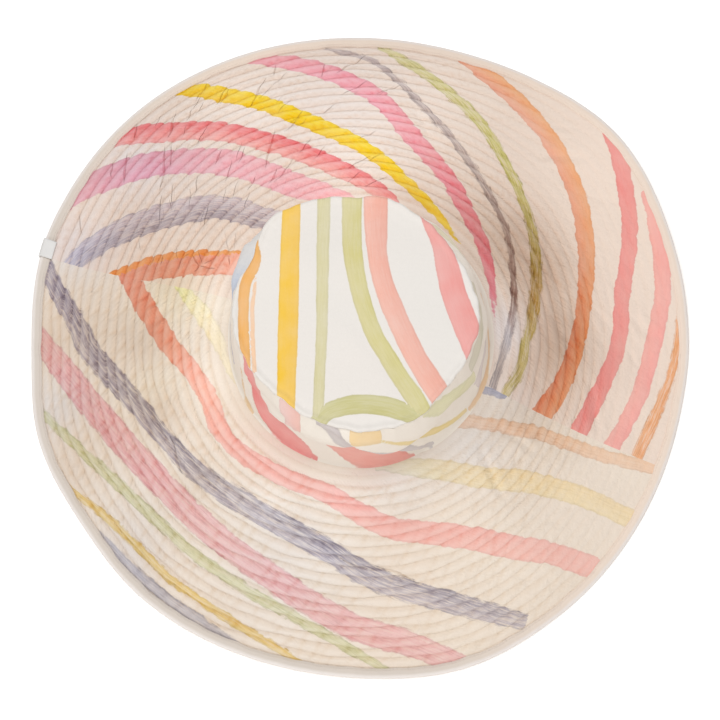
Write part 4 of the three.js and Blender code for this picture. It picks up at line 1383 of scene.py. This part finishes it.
def inked_cloth(material, place, cloth, shade, wobble_size):
    """The cloth's colour with the ink of its stripes on it."""
    # Cloth: two near shades in slow clouds
    clouds = add_node(material, "TexNoise", {"Vector": place, "Scale": 9.0, "Detail": 2.0})
    bare = add_node(material, "Mix", {"Factor": clouds, 6: linear(cloth), 7: linear(shade)},
                    data_type="RGBA")

    # Ink: which stripe and how deep inside it, the place in the stroke, its colour and dryness
    ink, stroke, red_green, blue_dry = (
        read_map(material, name) for name in ("ink", "stroke", "ink_rg", "ink_bd"))
    dryness = blue_dry.outputs["Y"]
    ink_colour = add_node(material, "CombineXYZ", {
        "X": red_green.outputs["X"], "Y": red_green.outputs["Y"], "Z": blue_dry.outputs["X"]})
    streaks = brush_streaks(material, stroke, ink)

    # The edge wobbles, and the drier the brush was, the more its streaks fray and soften it
    wobble = add_node(material, "TexNoise",
                      {"Vector": place, "Scale": 130.0, "Detail": 3.0, "Roughness": 0.6})
    wobble = add_node(material, "MapRange", {"Value": wobble, "From Min": 0.25, "From Max": 0.75,
                                             "To Min": -wobble_size, "To Max": wobble_size})
    fray = add_node(material, "MapRange", {"Value": streaks, "To Min": 0.04, "To Max": -0.04})
    fray = add_node(material, "Math", {0: fray, 1: dryness, 2: wobble}, operation="MULTIPLY_ADD")
    depth = add_node(material, "Math", {0: ink.outputs["Y"], 1: fray}, operation="ADD")
    soft = add_node(material, "Math", {0: dryness, 1: 0.02, 2: 0.004}, operation="MULTIPLY_ADD")
    inside = add_node(material, "MapRange", {"Value": depth, "From Min": -0.003, "From Max": soft},
                      interpolation_type="SMOOTHSTEP")

    # The ink is missing in the dry streaks and thinner in the clouds of the wash
    streak = add_node(material, "MapRange", {"Value": streaks, "From Min": 0.46, "From Max": 0.62},
                      interpolation_type="SMOOTHSTEP")
    dry = add_node(material, "Math", {0: streak, 1: dryness}, operation="MULTIPLY")
    wash = add_node(material, "TexNoise", {"Vector": place, "Scale": 45.0, "Detail": 2.0})
    thin = add_node(material, "MapRange", {"Value": wash, "From Min": 0.3, "From Max": 0.7,
                                           "To Min": 1.0, "To Max": 0.82})
    wet = add_node(material, "Math", {0: 1.0, 1: dry}, operation="SUBTRACT")
    cover = add_node(material, "Math", {0: inside, 1: wet}, operation="MULTIPLY")
    cover = add_node(material, "Math", {0: cover, 1: thin}, operation="MULTIPLY")

    # The ink is darker where it pooled at the edge and where it stayed between the streaks
    pool = add_node(material, "MapRange", {"Value": depth, "From Min": 0.004, "From Max": 0.018,
                                           "To Min": 1.0, "To Max": 0.0})
    pooling = add_node(material, "Math", {0: dryness, 1: 0.3, 2: 0.07}, operation="MULTIPLY_ADD")
    pool = add_node(material, "Math", {0: pool, 1: pooling}, operation="MULTIPLY")
    grain = add_node(material, "MapRange", {"Value": streaks, "From Min": 0.33, "From Max": 0.47,
                                            "To Min": 0.5, "To Max": 0.0})
    grain = add_node(material, "Math", {0: grain, 1: dryness, 2: pool}, operation="MULTIPLY_ADD")
    lightness = add_node(material, "Math", {0: 1.0, 1: grain}, operation="SUBTRACT")
    pooled = add_node(material, "VectorMath", {0: ink_colour, "Scale": lightness}, operation="SCALE")
    return add_node(material, "Mix", {"Factor": cover, 6: bare, 7: pooled}, data_type="RGBA")


# %% [markdown]
# ## Weave, gathers and folds
# The threads are about 0.3 mm apart, too fine for the picture, so the weave is drawn at 0.9 mm. Two
# crossed sets of bands make it, and soft noise makes the crumples of washed cotton. On the brim three
# things come on top: fine gathers that run out of each ring of stitches, the sharp line at the
# bottom of a fold, and the stitches themselves.

# %% Relief of the cotton
# A wave texture repeats every 2 pi / 20 units at a scale of 1, so this gives one every 0.9 mm
THREADS = 2 * pi / 0.9 / MM / 20


def cotton_relief(material, place, crumpled):
    """The weave and soft crumples, in millimetres."""
    weave = [add_node(material, "TexWave",
                      {"Vector": place, "Scale": THREADS, "Distortion": 1.2, "Detail": 1.0,
                       "Detail Scale": 2.0}, wave_type="BANDS", bands_direction=direction)
             for direction in ("X", "Y")]
    woven = add_node(material, "Math", {0: weave[0], 1: weave[1]}, operation="MULTIPLY")
    crumple = add_node(material, "TexNoise", {"Vector": place, "Scale": 210.0, "Detail": 3.0,
                                              "Roughness": 0.55, "Distortion": 0.4})
    relief = add_node(material, "Math", {0: woven, 1: 0.05}, operation="MULTIPLY")
    return add_node(material, "Math", {0: crumple, 1: crumpled, 2: relief},
                    operation="MULTIPLY_ADD")


def fine_gathers(material, quilt, from_ring, strength, lean):
    """Slanting noise, its gathers about 3 mm apart, strongest beside a ring of stitches."""
    shift = add_node(material, "Math", {0: quilt.outputs["Y"], 1: -0.09 * lean}, operation="MULTIPLY")
    slanted = add_node(material, "Math", {0: quilt.outputs["X"], 1: shift}, operation="ADD")
    slanted = add_node(material, "CombineXYZ", {"X": slanted, "Y": quilt.outputs["Y"]})
    stretch = add_node(material, "Mapping", {"Vector": slanted, "Scale": (34, 0.8, 1)})
    gathers = add_node(material, "TexNoise",
                       {"Vector": stretch, "Scale": 1.0, "Detail": 2.0, "Roughness": 0.6})
    close = add_node(material, "MapRange", {"Value": from_ring, "From Min": 0.0, "From Max": 0.42,
                                            "To Min": 1.0, "To Max": 0.4})
    gathered = add_node(material, "Math", {0: gathers, 1: close}, operation="MULTIPLY")
    return add_node(material, "Math", {0: gathered, 1: strength}, operation="MULTIPLY")


def fold_line(material):
    """1 on the sharp line at the bottom of a fold, up to 2.4 mm wide and thinner to its ends."""
    fold = read_map(material, "crease")
    half_line = add_node(material, "MapRange",
                         {"Value": fold.outputs["Y"], "From Min": 0.0, "From Max": 0.06,
                          "To Min": 0.00005, "To Max": 0.012})
    off_line = add_node(material, "Math", {0: fold.outputs["X"]}, operation="ABSOLUTE")
    off_line = add_node(material, "Math", {0: off_line, 1: half_line}, operation="DIVIDE")
    return add_node(material, "MapRange", {"Value": off_line, "To Min": 1.0, "To Max": 0.0},
                    interpolation_type="SMOOTHSTEP")


def ring_stitches(material, quilt, from_ring, strength):
    """Stitches 2.6 mm long with a short gap, pressed into the cloth: only their relief shows."""
    spread = add_node(material, "Math", {0: quilt.outputs["Y"], 1: 0.043, 2: 0.61},
                      operation="MULTIPLY_ADD")
    along = add_node(material, "Math", {0: quilt.outputs["X"], 1: spread}, operation="MULTIPLY")
    dash = add_node(material, "Math", {0: along, 1: 0.013}, operation="PINGPONG")
    thread = add_node(material, "MapRange", {"Value": dash, "From Min": 0.002, "From Max": 0.004},
                      interpolation_type="SMOOTHSTEP")
    on_ring = add_node(material, "MapRange", {"Value": from_ring, "From Min": 0.03, "From Max": 0.07,
                                              "To Min": 1.0, "To Max": 0.0},
                       interpolation_type="SMOOTHSTEP")
    stitch = add_node(material, "Math", {0: thread, 1: on_ring}, operation="MULTIPLY")
    return add_node(material, "Math", {0: stitch, 1: strength}, operation="MULTIPLY")


# %% [markdown]
# ## Painted shade in the hollows
# Painted shade darkens the colour beside each ring of stitches, in puckers and along folds, where
# less light reaches the cloth. A gamma does it: white stays white, and a stripe grows richer. The
# painted shade is warm too, so the soft spots of painted shade lower blue most and red least.

# %% Painted shade in the folds and hollows
# The gamma of open cloth, and how much painted shade each hollow adds to it
PLAIN_GAMMA = 0.965
RING_SHADE, PUCKER_SHADE, FOLD_SHADE = 0.34, 0.48, 0.42


def with_painted_hollow_shade(material, colour, quilt, pucker, crease):
    """The colour with painted shade: darker beside the rings of stitches and in puckers and folds."""
    across = add_node(material, "Math", {0: quilt.outputs["Y"]}, operation="FRACT")
    falling = add_node(material, "MapRange", {"Value": across, "From Min": 0.02, "From Max": 0.62,
                                              "To Min": RING_SHADE, "To Max": 0.0},
                       interpolation_type="SMOOTHSTEP")
    rising = add_node(material, "MapRange", {"Value": across, "From Min": 0.82, "From Max": 1.0,
                                             "To Min": 0.0, "To Max": RING_SHADE},
                      interpolation_type="SMOOTHSTEP")
    ring_shade = add_node(material, "Math", {0: falling, 1: rising}, operation="MAXIMUM")
    gamma = PLAIN_GAMMA
    for source, share in ((ring_shade, pucker.outputs["Y"]), (pucker.outputs["X"], PUCKER_SHADE),
                          (crease, FOLD_SHADE)):
        gamma = add_node(material, "Math", {0: source, 1: share, 2: gamma},
                         operation="MULTIPLY_ADD")
    return add_node(material, "Gamma", {"Color": colour, "Gamma": gamma})


def with_painted_shading(material, colour):
    """The colour times the soft spots of painted shade and light. Red falls less than green and blue
    more, so the painted shade is warm, and where the cloth is painted bluer its red falls as well."""
    painted_shading = read_map(material, "painted_shading")
    cool = add_node(material, "Math", {0: painted_shading.outputs["Y"], 1: 1.0}, operation="MAXIMUM")
    cool = add_node(material, "Math", {0: cool, 1: -0.6}, operation="POWER")
    red = add_node(material, "Math", {0: painted_shading.outputs["X"], 1: 0.77}, operation="POWER")
    red = add_node(material, "Math", {0: red, 1: cool}, operation="MULTIPLY")
    blue = add_node(material, "Math", {0: painted_shading.outputs["X"], 1: 1.19}, operation="POWER")
    blue = add_node(material, "Math", {0: blue, 1: painted_shading.outputs["Y"]}, operation="MULTIPLY")
    tint = add_node(material, "CombineXYZ", {"X": red, "Y": painted_shading.outputs["X"], "Z": blue})
    return add_node(material, "VectorMath", {0: colour, 1: tint}, operation="MULTIPLY")


# %% [markdown]
# ## Printed cotton
# The functions above come together in two finishes of one cotton. The crown's is plain. The brim's
# is crumpled more, because it was gathered, and its gathers lean with its puckers.

# %% Printed cotton
COTTON = {"Roughness": 0.88, "Specular IOR Level": 0.25, "Sheen Weight": 0.12,
          "Sheen Roughness": 0.5}


def plain_cotton(name, cloth, shade, wobble_size):
    """The crown's cotton. The ink's edge wobbles by wobble_size, in units of the UV maps."""
    material = new_material(name, COTTON)
    place = add_node(material, "TexCoord").outputs["Object"]
    finish_material(material, inked_cloth(material, place, cloth, shade, wobble_size),
                    cotton_relief(material, place, crumpled=0.35))
    return material


def quilted_cotton(name, cloth, shade, wobble_size, lean):
    """The brim's cotton, with its gathers, folds and stitches."""
    material = new_material(name, COTTON)
    place = add_node(material, "TexCoord").outputs["Object"]
    quilt, pucker = read_map(material, "quilt"), read_map(material, "pucker")
    strength = pucker.outputs["Y"]
    from_ring = add_node(material, "Math", {0: quilt.outputs["Y"], 1: 0.5}, operation="PINGPONG")
    crease = fold_line(material)
    relief = cotton_relief(material, place, crumpled=0.8)
    for source, millimetres in (
        (fine_gathers(material, quilt, from_ring, strength, lean), 1.3),
        (crease, -0.6),
        (ring_stitches(material, quilt, from_ring, strength), 0.08),
    ):
        relief = add_node(material, "Math", {0: source, 1: millimetres, 2: relief},
                          operation="MULTIPLY_ADD")
    colour = inked_cloth(material, place, cloth, shade, wobble_size)
    colour = with_painted_hollow_shade(material, colour, quilt, pucker, crease)
    finish_material(material, with_painted_shading(material, colour), relief)
    return material


brim_front.data.materials.append(
    quilted_cotton("quilted printed cotton, front", "#ecdfcf", "#e9dacb", 0.011, lean=1))
brim_back.data.materials.append(
    quilted_cotton("quilted printed cotton, back", "#ecdbcc", "#ead6c8", 0.011, lean=-1))
# The crown's side is the same cotton as its top, painted lighter: painted light on its roll, which
# faces up into the lamp.
side.data.materials.append(
    plain_cotton("plain printed cotton, crown side", "#f1eae0", "#eee5d9", 0.004))
top.data.materials.append(
    plain_cotton("plain printed cotton, crown top", "#e9e2db", "#dfddd8", 0.003))

# %% [markdown]
# ## Bias-cut cotton
# The binding is unprinted cotton, a little darker than the brim. Painted shade makes it greyer at
# the left, where less light falls back on it from the cloth, and painted light makes it lighter over
# the fold at the edge. Its weave runs at 45 degrees to the edge, and one line of machine stitches
# 2.8 mm long holds its upper lip.

# %% Bias-cut cotton
# Place of the stitches, as a fraction of the way from the upper lip to the lower
STITCH_LINE = 0.085


def bias_cotton():
    """The binding's cotton, with its line of stitches."""
    material = new_material("bias-cut cotton", {
        "Roughness": 0.85, "Specular IOR Level": 0.25, "Sheen Weight": 0.12})
    place = add_node(material, "TexCoord").outputs["Object"]

    # Painted shade and light: grey at the left of the hat, warm at the right and back, and a painted
    # highlight over the fold
    clouds = add_node(material, "TexNoise", {"Vector": place, "Scale": 14.0, "Detail": 2.0})
    spot = add_node(material, "SeparateXYZ", {"Vector": place})
    painted_light_by_side = add_node(material, "Math", {0: spot.outputs["Y"], 1: 0.75, 2: spot.outputs["X"]},
                    operation="MULTIPLY_ADD")
    painted_light_by_side = add_node(material, "MapRange", {"Value": painted_light_by_side, "From Min": -0.16, "From Max": 0.14})
    painted_light_by_side = add_node(material, "Math", {0: clouds, 1: 0.3, 2: painted_light_by_side}, operation="MULTIPLY_ADD")
    cloth = add_node(material, "Mix", {"Factor": painted_light_by_side, 6: linear("#d0c8bf"), 7: linear("#ebdacb")},
                     data_type="RGBA")
    strip = read_map(material, "strip")
    # Painted highlight: lighter where the strip turns over the edge
    rim = add_node(material, "MapRange",
                   {"Value": strip.outputs["Y"], "From Min": 0.26, "From Max": 0.42},
                   interpolation_type="SMOOTHSTEP")
    cloth = add_node(material, "Mix", {"Factor": rim, 6: cloth, 7: linear("#ebe4df")},
                     data_type="RGBA")

    # Relief: the stitched line lies in a groove, under the weave and soft crumples
    dash = add_node(material, "Math", {0: strip.outputs["X"], 1: 0.014}, operation="PINGPONG")
    thread = add_node(material, "MapRange", {"Value": dash, "From Min": 0.002, "From Max": 0.004},
                      interpolation_type="SMOOTHSTEP")
    from_line = add_node(material, "Math", {0: strip.outputs["Y"], 1: STITCH_LINE},
                         operation="SUBTRACT")
    from_line = add_node(material, "Math", {0: from_line}, operation="ABSOLUTE")
    on_line = add_node(material, "MapRange", {"Value": from_line, "From Min": 0.012,
                                              "From Max": 0.03, "To Min": 1.0, "To Max": 0.0},
                       interpolation_type="SMOOTHSTEP")
    stitch = add_node(material, "Math", {0: thread, 1: on_line}, operation="MULTIPLY")
    weave = add_node(material, "TexWave", {"Vector": place, "Scale": THREADS, "Distortion": 1.0},
                     wave_type="BANDS", bands_direction="DIAGONAL")
    crumple = add_node(material, "TexNoise", {"Vector": place, "Scale": 240.0, "Detail": 2.0})
    relief = add_node(material, "Math", {0: on_line, 1: -0.2}, operation="MULTIPLY")
    for source, millimetres in ((stitch, 0.1), (weave, 0.05), (crumple, 0.5)):
        relief = add_node(material, "Math", {0: source, 1: millimetres, 2: relief},
                          operation="MULTIPLY_ADD")
    finish_material(material, cloth, relief)
    return material


binding.data.materials.append(bias_cotton())

# %% [markdown]
# ## Woven tape
# The tab is white tape with a smooth, tight weave, a little glossier than the cotton. Its ribs are
# drawn 0.8 mm apart.

# %% Woven tape
def woven_tape():
    """The tab's ribbed white tape."""
    material = new_material("white woven tape", {"Roughness": 0.6, "Specular IOR Level": 0.35})
    place = add_node(material, "TexCoord").outputs["Object"]
    ribs = add_node(material, "TexWave",
                    {"Vector": place, "Scale": 2 * pi / 0.8 / MM / 20, "Distortion": 0.3},
                    wave_type="BANDS", bands_direction="Y")
    tint = add_node(material, "Mix", {"Factor": ribs, 6: linear("#dbdad8"), 7: linear("#e4e3e1")},
                    data_type="RGBA")
    relief = add_node(material, "Math", {0: ribs, 1: 0.08}, operation="MULTIPLY")
    finish_material(material, tint, relief)
    return material


tab.data.materials.append(woven_tape())

# %% [markdown]
# ## What each piece stands for
# Each piece rides on the hat's one body and hides the plain solid that it stands for. The brim halves
# are padded, and the rest is cloth cut flat before it was sewn.

# %% Pieces and the solids they hide
for piece, node, slot in (
    (brim_front, "brim_front_half", "quilted_cotton"), (brim_back, "brim_back_half", "quilted_cotton"),
    (side, "crown_side_band", "plain_cotton"), (top, "crown_tip", "plain_cotton"),
    (binding, "brim_binding", "bias_cotton"), (tab, "label_tab", "woven_tape"),
):
    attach(piece, "root")
    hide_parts(node)
    print(piece.name, "stands for", node)
